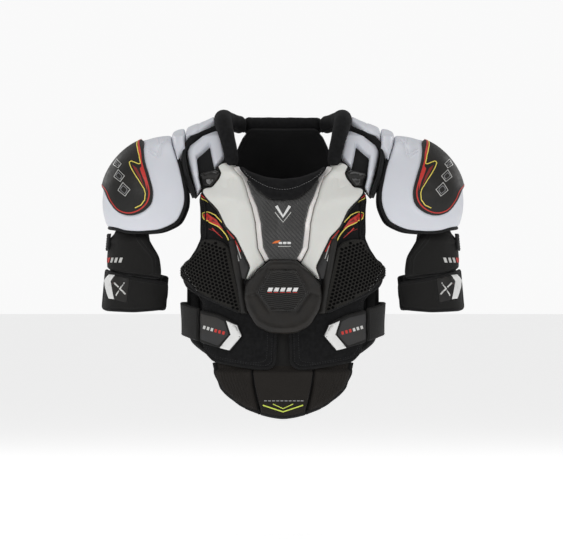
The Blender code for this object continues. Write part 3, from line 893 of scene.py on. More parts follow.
def moulded_white(name, colour, roughness, grain):
    """Moulded foam or plastic shell with a film skin: fine grain, faint mottling and a little wear."""
    made = Finish(name, colour, roughness, Specular_IOR_Level=0.45, Subsurface_Weight=0.04,
                  Subsurface_Scale=0.004, Coat_Weight=0.10, Coat_Roughness=0.35)
    cloudy = made.ranged(made.noise(9, 4), 0.3, 0.75, 0.0, 1.0)
    scuffed = made.ranged(made.noise(42, 6, 0.7), 0.60, 0.78, 0.0, 0.35)
    shade = made.mixed(cloudy, shaded(colour, 0.93), colour)
    made.paint(made.mixed(scuffed, shade, shaded(colour, 0.86, 0.85, 0.82)))
    made.polish(made.ranged(made.noise(60, 4), 0.3, 0.7, roughness - 0.08, roughness + 0.12))
    made.bump(made.noise(900, 2), grain)
    made.bump(made.noise(60, 3), 0.12)
    return made.material


def brushed_black(name, colour, sheen):
    """Napped loop cloth that hook tape grips: soft, fibrous and dull."""
    made = Finish(name, colour, 0.92, Sheen_Weight=sheen, Sheen_Roughness=0.45, Specular_IOR_Level=0.16)
    made.shader.inputs["Sheen Tint"].default_value = (0.50, 0.50, 0.52, 1)
    fibres = made.noise(1400, 4, 0.7)
    tufts = made.noise(160, 4, 0.65)
    made.paint(made.mixed(made.ranged(tufts, 0.35, 0.7, 0.0, 1.0), colour, shaded(colour, 2.1)))
    made.bump(fibres, 0.25)
    made.bump(tufts, 0.35)
    return made.material


def woven(name, colour, pitch, light=1.9, roughness=0.8, sheen=0.03, depth=0.18):
    """Plain woven nylon: over-and-under threads in two directions, with painted highlight on the thread
    crowns and painted shade between them; light sets the brightness of the painted highlight.
    """
    made = Finish(name, colour, roughness, Sheen_Weight=sheen, Specular_IOR_Level=0.22)
    warp = made.waves(pitch, 0.0, 0.15)
    weft = made.waves(pitch, math.pi / 2, 0.15)
    over = made.math("MULTIPLY", warp, weft)
    under = made.math("MULTIPLY", made.math("SUBTRACT", 1.0, warp), made.math("SUBTRACT", 1.0, weft))
    cloth = made.math("ADD", over, under)
    worn = made.ranged(made.noise(30, 5), 0.35, 0.75, 0.0, 0.5)
    # Painted light: thread crowns lit to light times the colour, the gaps between them in painted shade.
    shade = made.mixed(cloth, shaded(colour, 0.55), shaded(colour, light))
    made.paint(made.mixed(worn, shade, shaded(colour, 1.25)))
    made.bump(cloth, depth)
    made.bump(made.noise(120, 3), 0.15)
    return made.material


def ribbed_webbing(name, colour, pitch=1.5, along=False, light=2.2):
    """Elastic or webbing: cords across the band with a fine weave between them, with painted highlight on
    the cords and painted shade between them; light sets the brightness of the painted highlight.
    """
    made = Finish(name, colour, 0.72, Sheen_Weight=0.03, Specular_IOR_Level=0.22)
    cords = made.waves(pitch, math.pi / 2 if along else 0.0, 0.1)
    fine = made.waves(pitch * 0.45, 0.0 if along else math.pi / 2, 0.2)
    mixed = made.math("ADD", made.math("MULTIPLY", cords, 0.7), made.math("MULTIPLY", fine, 0.3))
    # Painted light: cord tops lit, the grooves between them in painted shade.
    made.paint(made.mixed(mixed, shaded(colour, 0.5), shaded(colour, light)))
    made.bump(cords, 0.30)
    made.bump(fine, 0.12)
    return made.material


def carbon_twill(name, pitch=1.75):
    """Two-by-two twill under clear resin, with a painted sheen: the strands that lie over are painted
    lighter along their bulge.
    """
    # dark is the strand colour, light the brightest point of the painted sheen.
    dark, light = (0.004, 0.004, 0.004), (0.044, 0.042, 0.039)
    made = Finish(name, light, 0.34, Coat_Weight=0.9, Coat_Roughness=0.12, Specular_IOR_Level=0.6)
    turned = made.turned(math.radians(4), (10 / pitch, 10 / pitch, 1))
    parts = made.node("ShaderNodeSeparateXYZ", {0: turned})
    column, row = (made.math("FLOOR", parts.outputs[i]) for i in (0, 1))
    step = made.math("FLOORED_MODULO", made.math("ADD", column, row), 4.0)
    over = made.math("LESS_THAN", step, 1.5)
    across, along = (made.math("FRACT", parts.outputs[i]) for i in (0, 1))
    strand = made.node("ShaderNodeMix", {0: over, 2: across, 3: along}, data_type="FLOAT").outputs[0]
    bulge = made.math("SINE", made.math("MULTIPLY", strand, math.pi))
    # Painted sheen: light caught on the crown of each strand that lies over.
    sheen = made.math("MULTIPLY", over, bulge)
    made.paint(made.mixed(sheen, dark, light))
    made.polish(made.ranged(over, 0.0, 1.0, 0.42, 0.26))
    made.bump(bulge, 0.10)
    return made.material


def moulded_black(name, colour, roughness, grain=0.10, brown=1.0):
    """Moulded black plastic or rubber: leathery grain, rubbed patches and light scratches."""
    made = Finish(name, colour, roughness, Specular_IOR_Level=0.32)
    rubbed = made.ranged(made.noise(24, 6, 0.7), 0.42, 0.72, 0.0, 1.0)
    warm = (colour[0] * 2.0 * brown, colour[1] * 1.8 * brown, colour[2] * 1.5 * brown)
    made.paint(made.mixed(rubbed, colour, warm))
    made.polish(made.ranged(made.noise(50, 5, 0.7), 0.3, 0.7, roughness - 0.10, roughness + 0.16))
    pebbles = made.node("ShaderNodeTexVoronoi", {"Vector": made.place, "Scale": 850.0}).outputs["Distance"]
    made.bump(pebbles, grain)
    made.bump(made.noise(320, 3), grain)
    return made.material


def printed(name, colour, roughness=0.45, metallic=0.0):
    """Ink or film on cloth: slightly uneven and a little worn."""
    made = Finish(name, colour, roughness, Metallic=metallic, Specular_IOR_Level=0.4)
    worn = made.ranged(made.noise(150, 5, 0.75), 0.58, 0.80, 0.0, 0.55)
    made.paint(made.mixed(worn, colour, shaded(colour, 0.45)))
    made.bump(made.noise(500, 3), 0.08)
    return made.material


def foam(name, colour):
    """Closed-cell foam: tiny pores with painted shade in their hollows, and soft mottling."""
    made = Finish(name, colour, 0.88, Specular_IOR_Level=0.2, Sheen_Weight=0.03)
    pores = made.node("ShaderNodeTexVoronoi", {"Vector": made.place, "Scale": 620.0}).outputs["Distance"]
    # Painted shade: each pore darker towards its middle.
    made.paint(made.mixed(made.ranged(pores, 0.05, 0.6, 0.0, 1.0), shaded(colour, 0.5), colour))
    made.bump(pores, 0.25)
    made.bump(made.noise(70, 4), 0.3)
    return made.material


def knitted(name, colour, pitch=1.3):
    """Fine knit: rows of small loops, with painted highlight on the loops and painted shade between them."""
    made = Finish(name, colour, 0.85, Sheen_Weight=0.04, Sheen_Roughness=0.4, Specular_IOR_Level=0.2)
    columns = made.waves(pitch, 0.0, 0.6)
    rows = made.waves(pitch * 0.8, math.pi / 2, 1.2)
    loops = made.math("MULTIPLY", columns, made.math("ADD", made.math("MULTIPLY", rows, 0.6), 0.4))
    # Painted light: loop crowns lit, the gaps between them in painted shade.
    made.paint(made.mixed(loops, shaded(colour, 0.4), shaded(colour, 1.7)))
    made.bump(loops, 0.22)
    made.bump(made.noise(90, 3), 0.2)
    return made.material


CAP_WHITE = moulded_white("cap_white", (0.66, 0.675, 0.725), 0.42, 0.035)
ARM_WHITE = moulded_white("arm_white", (0.70, 0.70, 0.665), 0.46, 0.05)
# Warm white of the sternum bevel strips: a painted reflection of a bright light in a glossy chamfer.
BEVEL_REFLECTION_WHITE = moulded_white("bevel_painted_reflection", (0.74, 0.71, 0.69), 0.22, 0.02)
FOAM_CLOTH = brushed_black("vest_cloth", (0.0050, 0.0050, 0.0053), 0.035)
LOOP_CLOTH = brushed_black("loop_cloth", (0.0040, 0.0040, 0.0042), 0.03)
NYLON = woven("black_nylon", (0.0085, 0.0082, 0.0078), 1.1)
BROWN_NYLON = woven("rubbed_nylon", (0.0125, 0.0105, 0.0088), 1.1, 1.7)
KNIT = knitted("black_knit", (0.0095, 0.0095, 0.0100))
MESH_CORD = knitted("mesh_knit", (0.0210, 0.0198, 0.0172), 0.9)
# Floor of the mesh holes: the black cloth below, painted darker and without sheen as shade in the holes.
SHADED_HOLE_CLOTH = brushed_black("mesh_hole_shade", (0.0015, 0.0015, 0.0015), 0.0)
LINING = knitted("lining", (0.014, 0.014, 0.015), 1.0)
TAPE = ribbed_webbing("edge_tape", (0.0055, 0.0055, 0.0058), 1.0)
ELASTIC = ribbed_webbing("elastic", (0.0085, 0.0082, 0.0078), 1.7)
WEB = ribbed_webbing("webbing", (0.0050, 0.0050, 0.0052), 1.4, along=True)
CARBON = carbon_twill("carbon_twill")
PLASTIC = moulded_black("black_plastic", (0.0075, 0.0066, 0.0058), 0.40)
SHINY = moulded_black("shiny_plastic", (0.0060, 0.0058, 0.0056), 0.20, 0.03)
RUBBER = moulded_black("rubber_film", (0.0095, 0.0090, 0.0085), 0.50, 0.12, 0.8)
GREY_FILM = moulded_black("grey_film", (0.026, 0.026, 0.027), 0.34, 0.05, 0.6)
BLACK_FOAM = foam("black_foam", (0.010, 0.010, 0.0105))
RED = printed("red_print", (0.52, 0.030, 0.022))
DEEP_RED = printed("deep_red_print", (0.20, 0.012, 0.010))
YELLOW = printed("yellow_print", (0.80, 0.66, 0.11))
LIME = printed("lime_print", (0.62, 0.72, 0.10))
ORANGE = printed("orange_print", (0.75, 0.17, 0.03))
WHITE_PRINT = printed("white_print", (0.75, 0.75, 0.74), 0.35)
SILVER = printed("silver_print", (0.62, 0.62, 0.60), 0.30, 0.35)
GREY_PRINT = printed("grey_print", (0.30, 0.30, 0.31), 0.35, 0.3)
THREAD = woven("black_thread", (0.020, 0.020, 0.021), 0.5)
GREY_THREAD = woven("grey_thread", (0.20, 0.20, 0.20), 0.5)


# Pieces ------------------------------------------------------------------------------------------------
def settle(piece, name, body, replaces=()):
    """Names the piece, and says what it rides on and stands for."""
    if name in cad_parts:
        name += "_look"
    piece.name = name
    piece.data.name = name
    if body:
        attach(piece, body)
    if replaces:
        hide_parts(*replaces)
    return piece


def lay(panel, node, finishes, side, body, puffed=False):
    """The panel's solid, as what stands for the CAD node. A puffed one is pressed outward first."""
    made = panel.solid(node, finishes, side)
    if puffed:
        made = stuffed(panel, made, side)
    return settle(made, node, body, [node])


def trim(name, body, parts):
    """Tapes, stitches and prints, joined into one piece that rides on the body."""
    return settle(join(name, parts), name, body)


def marks(panel, side, shapes):
    """A patch on the panel for each outline, material and thickness."""
    return [patch(panel, loop, material, side, thick) for loop, material, thick in shapes]


# Chest half --------------------------------------------------------------------------------------------
def chest_panels():
    """The vest half on each side: soft cloth over foam, bound edges, seams and the printed flame."""
    level = VEST[1]
    outline = seen(FRONT, level, (1.5, -52), (30, -50), (56, -43), (80, -35), (97, -31), (112, -36),
                   (124, -50), (131, -66), (135, -80), (132, -112), (131, -142), (140, -161), (151, -177),
                   (166, -188), (168, -205), (156, -218), (137, -230), (128, -243), (128, -290), (126, -322),
                   (112, -337), (80, -343), (45, -348), (24, -349), (14, -341), (13, -315), (12, -285),
                   (1.5, -270))
    outline = rounded(outline, 0.006)
    upper = curved(seen(FRONT, level, (104, -99), (112, -110), (130, -118)), False)
    seam = seen(FRONT, level, (124, -80), (121, -110), (122, -143), (146, -184), (158, -193))
    seam = curved(seam, False)
    flap = seen(FRONT, level, (24, -292), (26, -337), (50, -341), (110, -330), (120, -318), (121, -250))
    relief = (Line(upper, 0.0016, -0.0016), Line(seam, 0.0018, -0.0018), Softness(0.0007, 0.045, 11))
    for side, tag in SIDES:
        panel = Panel(FRONT, outline, VEST, edge=0.0045, crown=0.0008, reach=0.012, relief=relief)
        lay(panel, "chest_panel_" + tag, [FOAM_CLOTH], side, "front", puffed=True)
        trim("chest_trim_" + tag, "front", [
            binding(panel, TAPE, side, width=0.0060),
            stitches(panel, rounded(flap, 0.008, False), THREAD, side),
            stitches(panel, inset(outline, 0.0048), THREAD, side, closed=True),
            piping(panel, seam + (0.0028, 0), 0.0030, 0.0022, TAPE, side),
        ])
        trim("chest_print_" + tag, "front", marks(panel, side, chest_print()))


def chest_print():
    """Flame, dashes and short marks on the upper chest."""

    def shape(*places):
        return seen(FRONT, VEST[1], *places)

    def sweeping(width, *places):
        return band(curved(shape(*places), False), width)

    flame = shape((128, -103), (121, -101), (106, -111), (95, -127), (106, -120), (118, -115), (126, -108))
    return (
        (flame, RED, 0.0005),
        (shape((123, -106), (112, -110), (103, -117), (114, -114)), DEEP_RED, 0.0009),
        (sweeping(0.0014, (130, -101), (126, -110), (114, -117), (101, -124), (90, -137), (83, -152)),
         YELLOW, 0.0006),
        (sweeping(0.0012, (129, -101), (120, -99), (108, -104), (97, -116)), YELLOW, 0.0006),
        (band(shape((112, -125), (96, -141)), 0.0016, 0.3), RED, 0.0006),
        (band(shape((118, -126), (101, -133)), 0.0011, 0.3), DEEP_RED, 0.0006),
        (band(shape((133, -70), (124, -77)), 0.0026, 0.3), RED, 0.0006),
        (band(shape((131, -76), (120, -84)), 0.0014, 0.3), YELLOW, 0.0006),
    )


def mesh_panels():
    """Open knit over the ribs, with its outer seam and the raised rib along its inner edge."""
    level = MESH[1]
    outline = seen(FRONT, level, (87, -157), (98, -148), (112, -143), (130, -143), (138, -162),
                   (152, -177), (166, -188), (166, -202), (150, -217), (136, -228), (116, -239), (96, -249),
                   (66, -262), (68, -240), (77, -200))
    outline = rounded(outline, 0.004)
    rib = curved(seen(FRONT, level, (83, -143), (76, -180), (68, -222), (62, -262)), False)
    seam = seen(FRONT, level, (158, -190), (146, -212), (136, -226))
    rim = seen(FRONT, level, (160, -195), (137, -229), (100, -247), (72, -259))
    for side, tag in SIDES:
        holes = Holes(inset(outline, 0.0012), 0.0060, 0.0025, 0.0024, lean=0.35)
        panel = Panel(FRONT, outline, MESH, edge=0.0025, drop=0.002, crown=0.0010, reach=0.02,
                      relief=(holes,), cell=0.006)
        name = "mesh_panel_" + tag
        settle(holed(panel, holes, name, side), name, "front", [name])
        bar = Panel(FRONT, band(rib, 0.0092), RIB, edge=0.0042, drop=0.006)
        trim("mesh_trim_" + tag, "front", [
            bar.solid("rib", [RUBBER], side),
            stitches(panel, inset(outline, 0.0012), THREAD, side, closed=True, above=0.0006),
            piping(panel, rim, 0.0042, 0.0026, TAPE, side),
            stitches(panel, seam, GREY_THREAD, side, above=0.0012),
        ])


def holed(panel, holes, name, side):
    """The honeycomb knit, with the floor of each hole in the cloth below, painted darker than that cloth as
    shade.
    """
    places, faces, _ = panel.surface()
    made = panel.solid(name, [MESH_CORD, SHADED_HOLE_CLOTH], side)
    index = np.zeros(len(made.data.polygons), np.int32)
    # Hole floors take the cloth below, in painted shade.
    index[: len(faces)] = holes.away(places[faces].mean(axis=1)) < holes.radius * 0.80
    made.data.polygons.foreach_set("material_index", index)
    return made


ARM_OUTER = ((86, -23), (97, -19.5), (107, -26), (100, -37), (115, -60), (126, -60), (129, -67), (123, -78),
             (105, -97), (93, -122), (76, -140), (64, -164), (53, -187), (60, -208))
ARM_INNER = ((30, -181), (42, -158.5), (46, -118), (52, -92), (62, -60), (69, -43), (84, -27))
ARM_BAND = ((22, -174), (32, -157), (36, -118), (43, -91), (56, -60), (65, -41), (80, -26), (82.5, -28),
            (67.5, -43.5), (60.4, -60.6), (50.2, -92.3), (44.3, -118), (40.3, -158.2), (29, -179))
ARM_EDGE = ((22, -174), (32, -157), (36, -118), (43, -91), (56, -60), (64, -42), (81, -25))


def sternum_arms():
    """White moulded plates, and a bevelled inner edge whose warm white is a painted reflection, on a thin
    black backing that outlines them.
    """
    level = PLATE[1]
    plate = rounded(seen(FRONT, level, *ARM_OUTER, *ARM_INNER), 0.004)
    strip = rounded(seen(FRONT, level, *ARM_BAND), 0.0015)
    whole = rounded(inset(seen(FRONT, BACKING[1], *ARM_OUTER, *ARM_EDGE), -0.0019), 0.003)
    fold = seen(FRONT, level, (63, -86), (94, -78), (127, -67))
    lower = seen(FRONT, level, (70, -90), (72, -118), (60, -150), (45, -184))
    vent = seen(FRONT, level, (78, -62), (80, -42), (88, -47), (88, -62), (96, -60), (104, -54))
    relief = (Line(fold, 0.0075, 0.0020), Line(curved(lower, False), 0.010, 0.0010),
              Line(vent, 0.0009, -0.0004), Softness(0.0002, 0.06, 5))
    main = Panel(FRONT, plate, PLATE, edge=0.0034, drop=0.0042, crown=0.0010, reach=0.016, relief=relief,
                 cell=0.0040)

    def sinking(places):
        return 0.0040 * np.clip((distance_to(places, main.loop) - 0.0015) / 0.007, 0, 1)

    bevel = Panel(FRONT, strip, BEVEL, edge=0.0018, drop=0.0022, tuck=sinking)
    back = Panel(FRONT, whole, BACKING, edge=0.0012, drop=0.0010)
    for side, tag in SIDES:
        lay(main, "sternum_arm_" + tag, [ARM_WHITE], side, "front")
        # The bevel strip's warm white is a painted reflection.
        settle(bevel.solid("bevel", [BEVEL_REFLECTION_WHITE], side), "sternum_bevel_" + tag, "front")
        settle(back.solid("backing", [RUBBER], side), "sternum_backing_" + tag, "front")


def side_tabs():
    """Grey film tabs beside the arms, with red edge lines and a plain white bar."""
    level = 0.0150
    loop = seen(FRONT, level, (90, -127), (77, -140), (54, -188), (60, -207), (66, -206), (85, -141))
    tab = Panel(FRONT, rounded(loop, 0.002), SIDE_TAB, edge=0.0014, drop=0.0014, crown=0.0006, reach=0.006)

    def line(width, *places):
        return band(seen(FRONT, level, *places), width)

    lines = (
        (line(0.0012, (89, -129), (78, -141), (67, -163)), RED, 0.0005),
        (line(0.0010, (84, -143), (75, -176), (68, -201)), DEEP_RED, 0.0005),
        (line(0.0020, (77, -152), (70, -178)), WHITE_PRINT, 0.0005),
        (line(0.0008, (73, -152), (66, -174)), SILVER, 0.0005),
    )
    for side, tag in SIDES:
        parts = [tab.solid("tab", [GREY_FILM], side), *marks(tab, side, lines)]
        trim("side_tab_" + tag, "front", parts)


def sternum_panel():
    """Carbon plate between the arms, folded along two lines, with a small generic mark."""
    level = STERNUM_PANEL[1]
    loop = seen(FRONT, level, *mirrored((58, -50), (50, -74), (41, -92), (35, -118), (31, -157), (21, -178)))
    folds = (Line(seen(FRONT, level, (-9, -60), (-10, -120), (-8, -178)), 0.016, -0.0034, sharp=True),
             Line(seen(FRONT, level, (14, -60), (13, -120), (10, -178)), 0.020, -0.0018, sharp=True))
    plate = Panel(FRONT, loop, STERNUM_PANEL, edge=0.002, drop=0.001, relief=folds)
    lay(plate, "sternum_panel", [CARBON], 1, "front")

    def line(width, *places):
        return band(seen(FRONT, level, *places), width)

    dash = rounded(seen(FRONT, level, (-18, -150), (-13, -146), (-4, -144.5), (-8, -149)), 0.001)
    trim("sternum_marks", "front", marks(plate, 1, (
        (dash, ORANGE, 0.0004),
        (line(0.0034, (-7, -149), (-1.5, -149)), WHITE_PRINT, 0.0004),
        (line(0.0034, (0, -149), (5.5, -149)), WHITE_PRINT, 0.0004),
        (line(0.0034, (7, -149), (12.5, -149)), WHITE_PRINT, 0.0004),
        (line(0.0010, (-8, -154.5), (12.5, -154.5)), SILVER, 0.0004),
        (line(0.0046, (-11, -90), (0, -107), (11, -90)), WHITE_PRINT, 0.0004),
        (line(0.0014, (-13, -100), (0, -116), (13, -100)), SILVER, 0.0004),
    )))


def neckline_pad():
    """Soft black pad in front of the throat, with a row of stitches."""
    level = NECKLINE[1]
    loop = [*mirrored((76, -25), (59, -35), (30, -44), middle=[(0, -47)]),
            *mirrored((-66, -40), (-46, -62), (-22, -79), middle=[(0, -81)])]
    row = seen(FRONT, level, *mirrored((-66, -33), (-50, -46), (-25, -59), middle=[(0, -64)]))
    row = curved(row, False)
    pad = Panel(FRONT, rounded(seen(FRONT, level, *loop), 0.007), NECKLINE, edge=0.006, drop=0.0075,
                crown=0.0006, reach=0.012, relief=(Line(row, 0.0020, -0.0022), Softness(0.0006, 0.03, 3)))
    lay(pad, "neckline_pad", [FOAM_CLOTH], 1, "front", puffed=True)
    settle(stitches(pad, row, GREY_THREAD, 1, above=0.0005), "neckline_stitches", "front")


def sternum_cap():
    """Black shield with a raised rim, a sunken field and a ribbed hexagonal plate."""
    level = STERNUM_CAP[1]
    outline = mirrored((-20, -175), (-42, -192), (-62, -212), (-65, -235), (-61, -255), (-45, -281),
                       (-24, -292), middle=[(0, -294)])
    ridge = mirrored((-20, -183), (-40, -199), (-55, -216), (-57, -234), (-53, -251), (-39, -273),
                     (-20, -283), middle=[(0, -285)])
    loop = rounded(seen(FRONT, level, *outline), 0.006)
    field = rounded(seen(FRONT, level, *ridge), 0.005)
    grooves = [seen(FRONT, level, (way * 23, -190), (way * 43, -228), (way * 22, -258)) for way in (1, -1)]
    grooves += [seen(FRONT, level, (way * 44, -228), (way * 57, -232)) for way in (1, -1)]
    relief = [Line(field, 0.0024, 0.0016, closed=True), Softness(0.0002, 0.03, 21)]
    relief += [Line(path, 0.0020, -0.0012) for path in grooves]
    shield = Panel(FRONT, loop, STERNUM_CAP, edge=0.0060, drop=0.0095, relief=relief, cell=0.0036)
    lay(shield, "sternum_cap", [PLASTIC], 1, "front")
    row = stitches(shield, inset(loop, 0.0042), THREAD, 1, closed=True)
    settle(row, "sternum_cap_stitches", "front")
    hexagon()


def hexagon():
    """Ribbed badge plate without a mark. Its face stays flat between the ribs."""
    chart = Plane(BADGE_BACK_Y)
    corners = ((-21, -191), (21, -191), (41, -228), (20, -257), (-20, -257), (-41, -228))
    loop = rounded(seen(chart, 0, *corners), 0.002)
    inner = inset(loop, 0.0030)
    rows = []
    for z in np.arange(-253.0, -194.0, 3.2):
        wave = [(x, z + 1.1 * math.sin(x / 4.2)) for x in np.arange(-38.0, 38.1, 2.0)]
        path = seen(chart, 0, *wave)
        path = path[inside(path, inner)]
        if len(path) > 2:
            rows.append(Line(path, 0.0007, 0.0005))
    plate = Panel(chart, loop, BADGE, edge=0.0014, drop=0.0016, relief=[Field(inner, 0.001, -0.0007), *rows],
                  cell=0.003)
    lay(plate, "sternum_insert", [SHINY], 1, "front")
    bars = []
    for x in (-25, -15, -5, 5, 15):
        slant = seen(chart, 0, (x, -226), (x + 2.5, -220), (x + 9.5, -220), (x + 7, -226))
        under = band(seen(chart, 0, (x + 0.5, -227.4), (x + 7.5, -227.4)), 0.0010)
        bars += [patch(plate, outline, finish, 1, 0.0003, 0.0003)
                 for outline, finish in ((slant, WHITE_PRINT), (under, RED))]
    trim("sternum_bars", "front", bars)


# Belly -------------------------------------------------------------------------------------------------
def belly():
    """Extension pad: a plain centre with a chevron, two ribbed wings, a bound hem and the tucked tongue."""
    level = BELLY[1]
    tuck = tucked(-0.3550, 0.0050, 0.0078)

    def shape(*places):
        return seen(FRONT, level, *places)

    def chevron(top, reach, fall, width):
        return band(shape((-reach, top), (0, top - fall), (reach, top)), width)

    outline = mirrored((-51, -345), (-47, -375), (-42, -400), (-36, -421), (-18, -425), middle=[(0, -427)])
    middle = Panel(FRONT, rounded(shape(*outline), 0.003), BELLY, edge=0.004, crown=0.0005,
                   relief=(Softness(0.0007, 0.04, 31),), tuck=tuck)
    lay(middle, "belly_centre", [BROWN_NYLON], 1, "belly", puffed=True)
    hem = shape(*mirrored((-36, -420), (-18, -424), middle=[(0, -426)]))
    parts = [patch(middle, chevron(-405.5, 16, 7.5, 0.0013), LIME),
             patch(middle, chevron(-407.5, 32, 10.5, 0.0019), LIME)]
    parts += [patch(middle, band(shape((x, -400.5), (x + 4.5, -400.5)), 0.0013), GREY_PRINT)
              for x in (-30, -23.5, -17, -10.5, -4, 2.5, 9, 15.5, 22, 28)]
    parts += [binding(middle, TAPE, 1, HEM_WIDTH, path=curved(hem, False), closed=False)]
    parts += [stitches(middle, shape((way * 48, -358), (way * 44, -378), (way * 33, -419)), THREAD)
              for way in (1, -1)]
    trim("belly_centre_trim", "belly", parts)
    under = mirrored((-60, -349), (-64, -357), (-104, -358), (-100, -370), (-90, -386), (-70, -402),
                     (-42, -419), middle=[(0, -424)])
    sheet = Panel(FRONT, seen(FRONT, 0.003, *under), BELLY_BACKING, edge=0.002, drop=0.001)
    settle(sheet.solid("belly_backing", [NYLON]), "belly_backing", "belly")
    for side, tag in SIDES:
        belly_wing(side, tag, tuck)
    loop = rounded(seen(FRONT, TONGUE[1], (-52, -255), (-52, -346), (52, -346), (52, -255)), 0.004)
    tongue = Panel(FRONT, loop, TONGUE, edge=0.002, relief=(Softness(0.0004, 0.03, 8),))
    lay(tongue, "belly_tongue", [NYLON], 1, "front")


def belly_wing(side, tag, tuck):
    """One ribbed wing of the extension pad."""
    level = BELLY[1]
    loop = rounded(seen(FRONT, level, (53, -345), (116, -337), (113, -352), (106, -369), (98, -384),
                        (80, -399), (62, -411), (40, -419), (45, -400), (50, -375)), 0.004)
    relief = []
    for x in np.arange(44.0, 128.0, 4.6):
        path = seen(FRONT, level, (x + 3, -342), (x - 2, -368), (x - 13, -396), (x - 19, -408))
        path = divided(path, 0.002, False)
        path = path[inside(path, inset(loop, 0.007))]
        if len(path) > 3:
            relief.append(Line(path, 0.0012, 0.0011))
    relief.append(Softness(0.0008, 0.04, 17))
    panel = Panel(FRONT, loop, BELLY, edge=0.0045, crown=0.0004, relief=relief, tuck=tuck, cell=0.0038)
    lay(panel, "belly_wing_" + tag, [BROWN_NYLON], side, "belly", puffed=True)
    hem = seen(FRONT, level, (116, -340), (113, -353), (106, -369), (98, -384), (80, -399), (62, -410.5),
               (39, -419))
    row = seen(FRONT, level, (106, -357), (92, -383), (60, -405), (42, -414))
    inner = seen(FRONT, level, (53.5, -352), (50, -375), (45, -400), (41, -417))
    trim("belly_wing_trim_" + tag, "belly", [
        binding(panel, TAPE, side, HEM_WIDTH, path=curved(hem, False), closed=False),
        stitches(panel, curved(row, False), THREAD, side),
        piping(panel, inner, 0.003, 0.0026, TAPE, side, above=-0.002),
    ])


# Waist -------------------------------------------------------------------------------------------------
def waist():
    """Elastic from the back panel round the side, and the grip tab with its chevron."""
    level = STRAP[1]

    def shape(*places):
        return seen(FRONT, level, *places)

    tab = rounded(shape((134, -256), (104, -263.5), (88, -271), (74, -279), (67, -297), (86, -321),
                        (101, -317), (134, -308)), 0.003)
    chevron = shape((90, -273), (74, -280), (67, -297), (86, -320), (101, -316.5), (83, -295))
    facet = shape((90, -273), (74, -280), (67, -297), (75, -296), (80, -283))
    grey = rounded(shape((132, -262), (106, -268), (94, -274), (87, -295), (104, -313), (132, -303)), 0.002)
    shapes = [(chevron, WHITE_PRINT, 0.0017), (inset(facet, 0.0008), SILVER, 0.0023)]
    blocks = []
    for k, finish in enumerate((SILVER, SILVER, SILVER, RED, RED, RED)):
        x, z = 127 - 6.2 * k, -283.5 - 1.7 * k
        slant = shape((x, z + 2.6), (x - 3.6, z + 1.7), (x - 2.2, z - 3.4), (x + 1.4, z - 2.4))
        blocks.append((slant, finish, 0.0004))
    belt = FRONT.turn * np.radians(1)
    start, end = shape((138, -253.5), (138, -306))
    loop = divided(np.array([start, (74 * belt, -0.2475), (90 * belt, -0.244), (112 * belt, -0.244),
                             (112 * belt, -0.297), (90 * belt, -0.297), (74 * belt, -0.300), end]), 0.004)
    for side, tag in SIDES:
        panel = Panel(FRONT, tab, STRAP, edge=0.002, drop=0.0022, relief=(Softness(0.0003, 0.04, 9),))
        name = "waist_tab_" + tag
        made = panel.solid(name, [ELASTIC, GREY_FILM], side, [(grey, 1)])
        settle(made, name, name, [name])
        trim("waist_tab_trim_" + tag, name, [
            *marks(panel, side, shapes),
            stitches(panel, inset(grey, 0.0018), THREAD, side, closed=True),
            *marks(panel, side, blocks),
        ])
        strap = Panel(FRONT, loop, STRAP, edge=0.0022, drop=0.0024, relief=(Softness(0.0004, 0.05, 14),))
        name = "waist_elastic_" + tag
        made = sewn_strap(strap, name, ELASTIC, side, inset(loop, 0.0022))
        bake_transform(made)


def sewn_strap(strap, name, finish, side, row):
    """A strap with a row of stitches, left on no body, since it runs between two."""
    made = strap.solid(name, [finish], side)
    made = join(name, [made, stitches(strap, row, THREAD, side, closed=True)])
    return settle(made, name, None, [name])


# Shoulders ---------------------------------------------------------------------------------------------
def shoulder_arches():
    """Black foam arch over each shoulder, the white segments on it, and the frame in front of it."""
    under = SHOULDER.at((136, 12), (150, 12), (154, 26), (157, 38), (159, 49), (160, 62), (161, 80),
                        (161, 100), (159, 122), (153, 146), (92, 146), (89, 122), (88, 100), (88, 80),
                        (88, 63), (97, 49), (110, 38), (123, 26))
    inner = SHOULDER.at((110, 79), (133, 71), (156.2, 60), (157.2, 76), (157.4, 92), (157.2, 110),
                        (156, 128), (152, 146), (120, 146), (113, 127), (110, 97))
    outer = SHOULDER.at((157.6, 51), (169, 41), (175.5, 56), (179.5, 73), (180.5, 90), (179.5, 106),
                        (175, 126), (157.6, 129), (158.6, 106), (158.8, 84))
    seam = Line(SHOULDER.at((135, 60), (136, 90), (134, 142)), 0.0016, -0.0012)
    arch = Panel(SHOULDER, rounded(under, 0.004), ARCH, edge=0.004, relief=(Softness(0.0006, 0.04, 6),))
    inner, outer = (Panel(SHOULDER, rounded(loop, 0.0025), SEGMENT, edge=0.0042, drop=0.0060, crown=0.0022,
                          reach=0.018, relief=grooves, cell=0.004)
                    for loop, grooves in ((inner, (seam,)), (outer, ())))
    for side, tag in SIDES:
        name = "shoulder_arch_" + tag
        made = arch.solid(name, [BLACK_FOAM], side)
        made = join(name, [made, binding(arch, TAPE, side, 0.006)])
        settle(made, name, "back", [name])
        lay(inner, "arch_segment_inner_" + tag, [CAP_WHITE], side, "back")
        lay(outer, "arch_segment_outer_" + tag, [CAP_WHITE], side, "arch_outer_" + tag)
        clavicle(side, tag)


